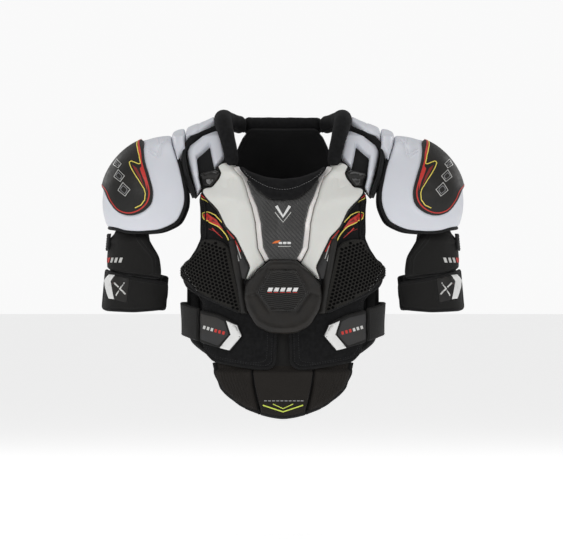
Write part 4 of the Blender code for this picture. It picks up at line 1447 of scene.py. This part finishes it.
def clavicle(side, tag):
    """White frame in front of the shoulder, its black backing, the webbing in its window and the clip."""

    def shape(level, *places):
        return seen(SHOULDER, level, *places)

    level = CLAVICLE[1]
    loop = shape(level, (103, 35), (113, 33), (132, 23), (151, 8.5), (154.5, 0), (151, -19), (146, -40),
                 (138, -72), (131, -59), (134.5, -43), (139, -8), (117.5, 13), (113, -12), (109.5, -26),
                 (98, -14), (94, -7), (98, 12))
    facets = shape(level, (103, 26), (124, 19), (143, 4), (146, -2), (142, -36), (134, -62))
    behind = shape(WEBBING[1], (108, 39), (132, 31), (155, 15), (161, 4), (157, -20), (152, -42),
                   (141, -79), (128, -62), (110, -30), (92, -17), (88, -8), (96, 8))
    strap = shape(WEBBING[1], (115.5, 15), (138, -6), (135, -38), (124, -46), (109, -38), (112, -12))
    tape_line = shape(0.0270, (102, 41), (111, 39), (134, 29.5), (150, 19), (158.5, 8), (160, -5),
                      (155, -33), (149, -52), (142, -75))
    plate = Panel(SHOULDER, rounded(loop, 0.0025), CLAVICLE, edge=0.0030, drop=0.0042, crown=0.0012,
                  reach=0.008, relief=(Line(facets, 0.0040, 0.0012),), cell=0.0034)
    back = Panel(SHOULDER, rounded(behind, 0.005), CLAVICLE_BACKING, edge=0.0015, drop=0.001)
    web = Panel(SHOULDER, rounded(strap, 0.001), WEBBING, edge=0.001, drop=0.001)
    tape = Panel(SHOULDER, band(curved(tape_line, False), 0.0080), CLAVICLE_TAPE, edge=0.0039, drop=0.0110)
    lay(plate, "clavicle_plate_" + tag, [CAP_WHITE], side, "back")
    trim("clavicle_backing_" + tag, "back",
         [back.solid("backing", [RUBBER], side), tape.solid("roll", [TAPE], side)])
    lay(web, "clavicle_strap_" + tag, [WEB], side, "back")
    clip = ((109, -31), (134, -36), (136, -41), (129, -57.5), (117, -59), (101.5, -37))
    facet = seen(FRONT, CLIP[1], (120, -40), (131, -40), (126, -55), (119, -56))
    buckle = Panel(FRONT, rounded(seen(FRONT, CLIP[1], *clip), 0.0015), CLIP, edge=0.0030, drop=0.0040,
                   relief=(Field(facet, 0.004, 0.0016),), cell=0.003)
    lay(buckle, "strap_clip_" + tag, [SHINY], side, "front")


COLLAR_PATH = ((0.0805, -0.0940, -0.024), (0.0845, -0.0860, 0.000), (0.0910, -0.0670, 0.026),
               (0.0960, -0.0410, 0.045), (0.0970, -0.0090, 0.054), (0.0900, 0.0260, 0.052),
               (0.0745, 0.0560, 0.047), (0.0650, 0.0655, 0.046))


def collars():
    """Padded rolls beside and behind the neck, narrowing at their ends, with an inner seam."""
    for side, tag in SIDES:
        line = evenly(curved(np.array(COLLAR_PATH), False, 8), 0.004, False) * (side, 1, 1)
        name = "collar_roll_" + tag
        settle(roll(name, line, 0.72), name, "back", [name])
    bearing = np.radians(np.linspace(138, 222, 12)) * FRONT.turn
    line = FRONT.place(bearing, np.full(12, 0.045), np.full(12, 0.0260))
    made = roll("collar_back", evenly(curved(line, False, 4), 0.004, False), 0.95)
    settle(made, "collar_back", "back", ["collar_back"])


def roll(name, line, start_share):
    """A stuffed tube with round ends and slow swells."""
    count = len(line)
    share = np.linspace(0, 1, count)
    from_end = np.minimum(share, 1 - share) * count * 0.55
    ends = np.sqrt(np.clip(1 - np.clip(1 - from_end, 0, 1) ** 2, 0.30, 1))
    size = 2 * COLLAR_RADIUS * ends * (start_share + (1 - start_share) * np.clip(share * 2.2, 0, 1))
    size *= 1 + 0.012 * np.sin(share * 21) + 0.01 * np.sin(share * 47 + 1)
    outward = (np.array(line) - (0, 0, -0.08)) * (1, 0.4, 1)
    outward /= np.linalg.norm(outward, axis=1, keepdims=True)
    tube = sweep(name, line, outward, size, size, FOAM_CLOTH, sides=20)
    inner = line - outward * (size / 2)[:, None] * 0.96
    return join(name, [tube, sweep("seam", inner, outward, 0.0028, 0.0028, TAPE, sides=6)])


# Shoulder caps -----------------------------------------------------------------------------------------
RIM_FRONT = ((180, 28), (178, 12), (171, -8), (163, -36), (157, -68), (159, -92), (170, -114), (194, -127),
             (224, -131), (252, -130), (271, -125))
INSERT_AHEAD = ((224, 13), (224, -2), (221, -20), (214, -42), (208, -66), (211, -86), (225, -99),
                (243, -104), (262, -99), (277, -82), (286, -64))
INSERT_BEHIND = ((289, -55), (283, -42), (268, -22), (250, -3), (235, 8))


def ahead(*places):
    """u, v on the cap of places in front of its middle plane."""
    return CAP.at(*((x, z, -1) for x, z in places))


def shoulder_caps():
    """Moulded white cap, its binding, foam liner and the black insert."""
    front = [(x, z, -1) for x, z in RIM_FRONT]
    rear = [(x, z, 1) for x, z in RIM_FRONT[:0:-1]]
    rim = curved(CAP.at(*front, (281, -121, 0), *rear), True, 5)
    insert = CAP.at(*((x, z, -1) for x, z in INSERT_AHEAD), *((x, z, 1) for x, z in INSERT_BEHIND),
                    (229, 15, 0))
    insert = curved(insert, True, 4)
    grooves = [ahead((188 + k, 22 - k), (198 + k, -8 - k / 2), (218, 4 - k)) for k in (0.0, 5.0)]
    grooves += [CAP.at((184 + k * 5.5, 26.5 - k * 0.8, -0.9), (185 + k * 5, 14 - k, -0.95))
                for k in range(4)]
    swirl = ahead((170, -60), (176, -92), (200, -112), (240, -117), (268, -108))
    relief = [Line(path, 0.0011, -0.0009) for path in grooves]
    relief.append(Line(curved(swirl, False), 0.010, 0.0008))
    relief.append(Line(inset(insert, -0.0035), 0.0030, 0.0010, closed=True))
    shell = Panel(CAP, rim, CAP_SHELL, edge=0.0055, drop=0.0040, relief=relief, cell=0.0046)
    within = rim * 0.86 + rim.mean(axis=0) * 0.14
    liner = Panel(CAP, within, CAP_LINER, edge=0.006, drop=0.004, relief=(Softness(0.0008, 0.05, 2),))
    plate = Panel(CAP, insert, CAP_INSERT, edge=0.0020, drop=0.0022, crown=0.0008, reach=0.02, cell=0.0044)
    for side, tag in SIDES:
        body = "cap_" + tag
        lay(shell, "cap_shell_" + tag, [CAP_WHITE], side, body)
        lay(liner, "cap_liner_" + tag, [LINING], side, body)
        cap_binding(rim, body, tag, side)
        lay(plate, "cap_insert_" + tag, [RUBBER], side, body)
        trim("cap_print_" + tag, body, marks(plate, side, cap_print()))


def cap_binding(rim, body, tag, side):
    """Rolled tape round the cap's lower edge, on the inside and below."""
    line = evenly(rim, 0.004)
    away = line - line.mean(axis=0)
    line = line + away / np.linalg.norm(away, axis=1, keepdims=True) * 0.0022
    level = np.full(len(line), -0.0030)
    points = CAP.place(*line.T, level) * (side, 1, 1)
    lift = CAP.place(*line.T, level + 0.001) * (side, 1, 1) - points
    low = points[:, 2] < 0.004
    order = np.roll(np.arange(len(line)), -int(np.argmin(low)))
    order = order[low[order]]
    normals = lift / np.linalg.norm(lift, axis=1, keepdims=True)
    name = "cap_binding_" + tag
    made = sweep(name, points[order], normals[order], 0.0062, 0.0074, TAPE, sides=10)
    settle(made, name, body, [name])


def cap_print():
    """Red line, yellow flame and plain outlined diamonds on the black insert."""
    red_edge = ((229, 16), (228.5, -2), (225.5, -21), (218.5, -43), (212.5, -66), (215.5, -83),
                (227, -94.5), (243, -99.5), (260, -95), (273, -80), (281, -64))
    red_edge = CAP.at(*((x, z, -1) for x, z in red_edge), (283.5, -56, -0.2))
    yellow = ahead((231, 17), (233.5, 11), (232, 0), (229, -11), (226, -24), (229, -25), (241, -20),
                   (244, -22), (241, -30), (229, -49), (220, -63), (218, -70), (219, -80), (225, -88),
                   (234, -92))
    flame = ahead((230, 12), (231, -2), (227, -16), (224, -28), (227, -32), (219, -52), (215, -66),
                  (216, -48), (222, -28), (227, -4))
    wedge = ahead((239, -26), (229, -44), (220, -60), (225, -44), (232, -31))
    shapes = [
        (band(curved(red_edge, False), 0.0027, 0.5), RED, 0.0005),
        (band(rounded(yellow, 0.002, False), 0.0014), YELLOW, 0.0009),
        (flame, RED, 0.0007),
        (wedge, DEEP_RED, 0.0007),
    ]
    for x, z, size in ((251, -62, 10), (259, -41, 9), (263, -22, 7)):
        diamond = ahead((x - size, z - 2), (x - 2, z - size * 1.25), (x + size, z - 3),
                        (x + 2, z + size * 0.95))
        shapes.append((outlined(diamond, 0.0011), SILVER, 0.0004))
        shapes.append((outlined(inset(diamond, 0.0030), 0.0008), GREY_PRINT, 0.0004))
    return shapes


def outlined(loop, width):
    """A frame of that width inside the loop, with a hairline slit so that it is one outline."""
    centre = loop.mean(axis=0)
    size = np.linalg.norm(loop - centre, axis=1).mean()
    ring = np.vstack([loop, loop[0] + (loop[-1] - loop[0]) * 0.02])
    inner = centre + (ring[::-1] - centre) * (1 - 1.2 * width / size)
    return np.vstack([ring, inner])


# Upper arms --------------------------------------------------------------------------------------------
def biceps_guards():
    """Upper pad, cuff, hook strap with its patch and chevron, and the strap from the cap."""
    link_loop = ARM.at((-2, -133), (24, -133), (24, -159), (0, -161))
    link = Panel(ARM, divided(link_loop, 0.003), CAP_LINK, edge=0.0012, drop=0.0012)
    for side, tag in SIDES:
        body = "biceps_" + tag
        biceps_pad(side, tag, body)
        biceps_cuff(side, tag, body)
        biceps_strap(side, tag)
        name = "cap_link_strap_" + tag
        made = sewn_strap(link, name, WEB, side, inset(link_loop, 0.0024))
        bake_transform(made)


def biceps_pad(side, tag, body):
    """Pad on the outside of the upper arm, with double piping near its front edge."""
    loop = rounded(ARM.at((-96, -122), (92, -122), (102, -140), (116, -156), (134, -174), (140, -188),
                          (140, -205), (60, -197), (0, -190), (-60, -186), (-112, -184),
                          (-108, -160)), 0.006)
    pipes = [ARM.at((82 + k, -124), (92 + k, -141), (106 + k, -157), (122 + k, -174), (126 + k, -200))
             for k in (0, -7)]
    pipes = [curved(pipe, False) for pipe in pipes]
    relief = [Softness(0.0010, 0.035, 41), Line(ARM.at((40, -150), (-60, -150)), 0.003, -0.0016)]
    relief += [Line(pipe, 0.0022, 0.0014) for pipe in pipes]
    pad = Panel(ARM, loop, BICEPS_PAD, edge=0.0055, crown=0.0006, reach=0.012, relief=relief,
                tuck=tucked(-0.143, 0.013, 0.0092))
    lay(pad, "biceps_pad_" + tag, [NYLON], side, body, puffed=True)
    parts = [binding(pad, TAPE, side, 0.006)]
    parts += [stitches(pad, pipe - (0.0022, 0), THREAD, side) for pipe in pipes]
    for k, finish in enumerate((SILVER, SILVER, SILVER, RED, RED, RED)):
        x = 58 - 11 * k
        bar = ARM.at((x, -180), (x + 3, -172), (x - 3, -172), (x - 6, -180))
        parts.append(patch(pad, bar, finish, side, 0.0005))
    trim("biceps_pad_trim_" + tag, body, parts)


def biceps_cuff(side, tag, body):
    """Stretch cuff round the arm, with bound edges."""
    loop = ARM.at((-178, -205), (-60, -196), (34, -194), (34, -252), (-60, -255), (-178, -255))
    cuff = Panel(ARM, divided(loop, 0.004), BICEPS_CUFF, edge=0.003, relief=(Softness(0.0012, 0.03, 52),))
    name = "biceps_cuff_" + tag
    made = join(name, [cuff.solid(name, [KNIT], side), binding(cuff, TAPE, side, 0.0058)])
    settle(made, name, body, [name])


def biceps_strap(side, tag):
    """Wide strap round the front of the arm, with a stitched patch and an outward chevron."""
    loop = rounded(ARM.at((6, -192), (30, -196), (90, -206), (156, -215), (158, -234), (150, -254),
                          (90, -258), (30, -256), (6, -252)), 0.005)
    strap = Panel(ARM, loop, BICEPS_STRAP, edge=0.0028, drop=0.003, relief=(Softness(0.0007, 0.04, 63),))
    name = "biceps_strap_" + tag
    lay(strap, name, [NYLON], side, name)

    def shape(*places):
        return seen(ARM, BICEPS_STRAP[1], *places)

    mark = rounded(shape((247, -205), (270, -201), (277, -210), (270, -240), (252, -245)), 0.002)
    chevron = shape((271, -200), (281, -199), (289, -208), (281, -238), (272, -239), (278.5, -210))
    rising = curved(shape((253, -231), (262, -222), (272, -212)), False)
    falling = curved(shape((254.5, -212), (262, -222), (269, -234)), False)
    parts = [binding(strap, TAPE, side, 0.005)]
    parts += marks(strap, side, (
        (mark, RUBBER, 0.0014),
        (chevron, WHITE_PRINT, 0.0013),
        (band(rising, 0.0030), SILVER, 0.0022),
        (band(falling, 0.0026), SILVER, 0.0020),
        (band(rising - (0.0030, 0), 0.0010), RED, 0.0022),
        (band(falling + (0.0026, 0), 0.0010), RED, 0.0020),
    ))
    parts += [stitches(strap, inset(outline, step), THREAD, side, closed=True)
              for outline, step in ((mark, -0.0016), (loop, 0.0042))]
    trim("biceps_strap_trim_" + tag, name, parts)


# Back half ---------------------------------------------------------------------------------------------
def back_half():
    """Quilted knit back, spine and shoulder-blade plates, lumbar pad, liners and hanging loop."""
    loop = back_loop(VEST, 0.008, (58, 37), (68, 20), (77, 0), (87, -22), (100, -48), (115, -75),
                     (122, -104), (126, -140), (146, -180), (156, -212), (156, -255), (152, -305),
                     (118, -334))
    seams = []
    for way in (1, -1):
        for depth, path in ((-0.0018, ((50, 14), (58, -40), (40, -62))),
                            (-0.0020, ((118, -110), (90, -200), (110, -262))),
                            (-0.0020, ((124, -150), (128, -230), (140, -300)))):
            path = seen(BACK, VEST[1], *((way * x, z) for x, z in path))
            seams.append(Line(curved(path, False), 0.0022, depth))
    panel = Panel(BACK, loop, VEST, edge=0.0045, crown=0.0008, reach=0.02,
                  relief=[*seams, Softness(0.0008, 0.05, 71)])
    lay(panel, "back_panel", [KNIT], 1, "back", puffed=True)
    parts = [binding(panel, TAPE, 1, 0.006), stitches(panel, inset(loop, 0.005), THREAD, 1, closed=True)]
    parts += [stitches(panel, seam.path, THREAD, 1, above=0.0004) for seam in seams]
    trim("back_trim", "back", parts)
    spine_plates()
    for side, tag in SIDES:
        scapula(side, tag)
    lumbar()
    loops_and_liners()


def back_loop(levels, radius, *half):
    """A symmetrical rounded outline on the back, from the half of it on the left."""
    return rounded(seen(BACK, levels[1], *mirrored(*half)), radius)


def spine_plates():
    """Three white plates down the spine, each with a raised middle and side grooves."""
    for place, half in (
        ("upper", ((30, -58), (38, -78), (36, -110))),
        ("middle", ((37, -114), (35, -150), (32, -178))),
        ("lower", ((33, -182), (30, -215), (24, -252))),
    ):
        relief = []
        for way in (1, -1):
            path = ((way * x * 0.55, z * 0.9 + half[1][1] * 0.1) for x, z in half)
            relief.append(Line(seen(BACK, SPINE[1], *path), 0.0018, -0.0016))
        plate = Panel(BACK, back_loop(SPINE, 0.006, *half), SPINE, edge=0.006, drop=0.0075, relief=relief,
                      cell=0.004)
        lay(plate, "spine_plate_" + place, [CAP_WHITE], 1, "back")


def scapula(side, tag):
    """Moulded black plate over the shoulder blade, with stepped ridges."""

    def shape(*places):
        return seen(BACK, PLATE[1], *places)

    loop = rounded(shape((44, -66), (98, -76), (114, -98), (116, -128), (100, -160), (76, -188), (40, -186),
                         (42, -160), (45, -125), (46, -90)), 0.007)
    inner = rounded(shape((55, -80), (92, -86), (104, -104), (105, -126), (90, -152), (70, -174),
                          (51, -172)), 0.006)
    ribs = [Line(curved(shape((58, z), (80, z - 6), (100, z - 3)), False), 0.0020, 0.0014)
            for z in (-98, -112, -126)]
    plate = Panel(BACK, loop, PLATE, edge=0.005, drop=0.006, relief=[Field(inner, 0.004, 0.0020), *ribs],
                  cell=0.004)
    lay(plate, "scapula_plate_" + tag, [PLASTIC], side, "back")


def lumbar():
    """Soft pad over the lower back, sewn in channels."""
    loop = back_loop(PLATE, 0.010, (92, -262), (104, -290), (92, -322))
    channels = [Line(seen(BACK, PLATE[1], (x, -266), (x * 0.97, -318)), 0.0026, -0.0045)
                for x in (-66, -33, 0, 33, 66)]
    pad = Panel(BACK, loop, PLATE, edge=0.007, drop=0.0078, relief=[*channels, Softness(0.0006, 0.03, 77)])
    made = stuffed(pad, pad.solid("lumbar_pad", [LOOP_CLOTH]))
    rows = [stitches(pad, channel.path, THREAD, 1, above=0.0006) for channel in channels]
    settle(join("lumbar_pad", [made, *rows]), "lumbar_pad", "back", ["lumbar_pad"])


HANG_LOOP = ((-0.014, 0.0945, -0.014), (-0.015, 0.098, 0.000), (-0.009, 0.104, 0.012), (0, 0.106, 0.017),
             (0.009, 0.104, 0.012), (0.015, 0.098, 0.000), (0.014, 0.0945, -0.014))
LININGS = (
    ("back_liner", BACK, "back", BACK_LINER, ((60, -50), (100, -85), (112, -140), (136, -210), (134, -300))),
    ("front_liner", FRONT, "front", LINER,
     ((66, -52), (98, -80), (108, -120), (110, -165), (114, -205), (108, -250))),
)


def loops_and_liners():
    """Hanging loop behind the collar, and the knit linings inside both halves."""
    line = evenly(curved(np.array(HANG_LOOP), False, 6), 0.0025, False)
    facing = np.tile((0, 1, 0.3), (len(line), 1))
    made = sweep("hang_loop", line, facing, 0.0046, 0.0032, WEB, sides=10)
    settle(made, "hang_loop", "back", ["hang_loop"])
    for name, chart, body, levels, half in LININGS:
        loop = rounded(seen(chart, LINER[1], *mirrored(*half)), 0.008)
        panel = Panel(chart, loop, levels, edge=0.002, drop=0.0012)
        lay(panel, name, [LINING], 1, body)


# Stage -------------------------------------------------------------------------------------------------
LAMPS = (
    ("key", (-1.7, -2.1, 1.0), 0.9, 16),
    ("fill", (1.9, -1.9, 0.6), 1.1, 10),
    ("top", (0.0, 0.2, 2.2), 1.6, 12),
    ("behind_left", (2.0, 1.9, 0.8), 1.2, 10),
    ("behind_right", (-2.0, 1.9, 0.8), 1.2, 10),
)  # name, place, size in metres, watts
LAMP_TARGET = Vector((0, 0, -0.15))
WORLD_LIGHTING, WORLD_SEEN = 0.42, 0.95
CAMERA_DISTANCE = 6.0
PHOTO_WIDTH = 0.9008  # metres across the photograph, at the chest
CHEST_DEPTH = 0.09
SENSOR = 36


def stage():
    """Pale floor, soft studio lights, a white surround and the camera square on to the chest."""
    scene = bpy.context.scene
    bpy.ops.mesh.primitive_circle_add(vertices=96, radius=30, fill_type="NGON", location=(0, 0, -0.62))
    floor = bpy.context.object
    floor.name = "floor"
    pale = Finish("pale_floor", (0.90, 0.90, 0.90), 0.85, Emission_Strength=0.46)
    pale.shader.inputs["Emission Color"].default_value = (1, 1, 1, 1)
    floor.data.materials.append(pale.material)
    world = bpy.data.worlds.new("studio")
    scene.world = world
    world.use_nodes = True
    surround = world.node_tree.nodes["Background"]
    surround.inputs[0].default_value = (1, 1, 1, 1)
    sight = world.node_tree.nodes.new("ShaderNodeLightPath")
    strength = world.node_tree.nodes.new("ShaderNodeMapRange")
    strength.inputs[3].default_value = WORLD_LIGHTING
    strength.inputs[4].default_value = WORLD_SEEN
    world.node_tree.links.new(sight.outputs["Is Camera Ray"], strength.inputs[0])
    world.node_tree.links.new(strength.outputs[0], surround.inputs[1])
    for name, place, size, power in LAMPS:
        data = bpy.data.lights.new(name, "AREA")
        data.shape = "DISK"
        data.size = size
        data.energy = power
        lamp = bpy.data.objects.new(name, data)
        lamp.location = place
        lamp.rotation_euler = (LAMP_TARGET - Vector(place)).to_track_quat("-Z", "Y").to_euler()
        scene.collection.objects.link(lamp)
    scene.view_settings.view_transform = "Standard"
    camera = bpy.data.cameras.new("camera")
    camera.sensor_width = SENSOR
    camera.lens = SENSOR * (CAMERA_DISTANCE - CHEST_DEPTH) / PHOTO_WIDTH
    eye = bpy.data.objects.new("camera", camera)
    eye.location = (-0.0024, -CAMERA_DISTANCE, -0.192)
    eye.rotation_euler = (math.pi / 2, 0, 0)
    scene.collection.objects.link(eye)
    scene.camera = eye


stage()
chest_panels()
mesh_panels()
sternum_arms()
side_tabs()
sternum_panel()
neckline_pad()
sternum_cap()
belly()
waist()
shoulder_arches()
collars()
shoulder_caps()
biceps_guards()
back_half()
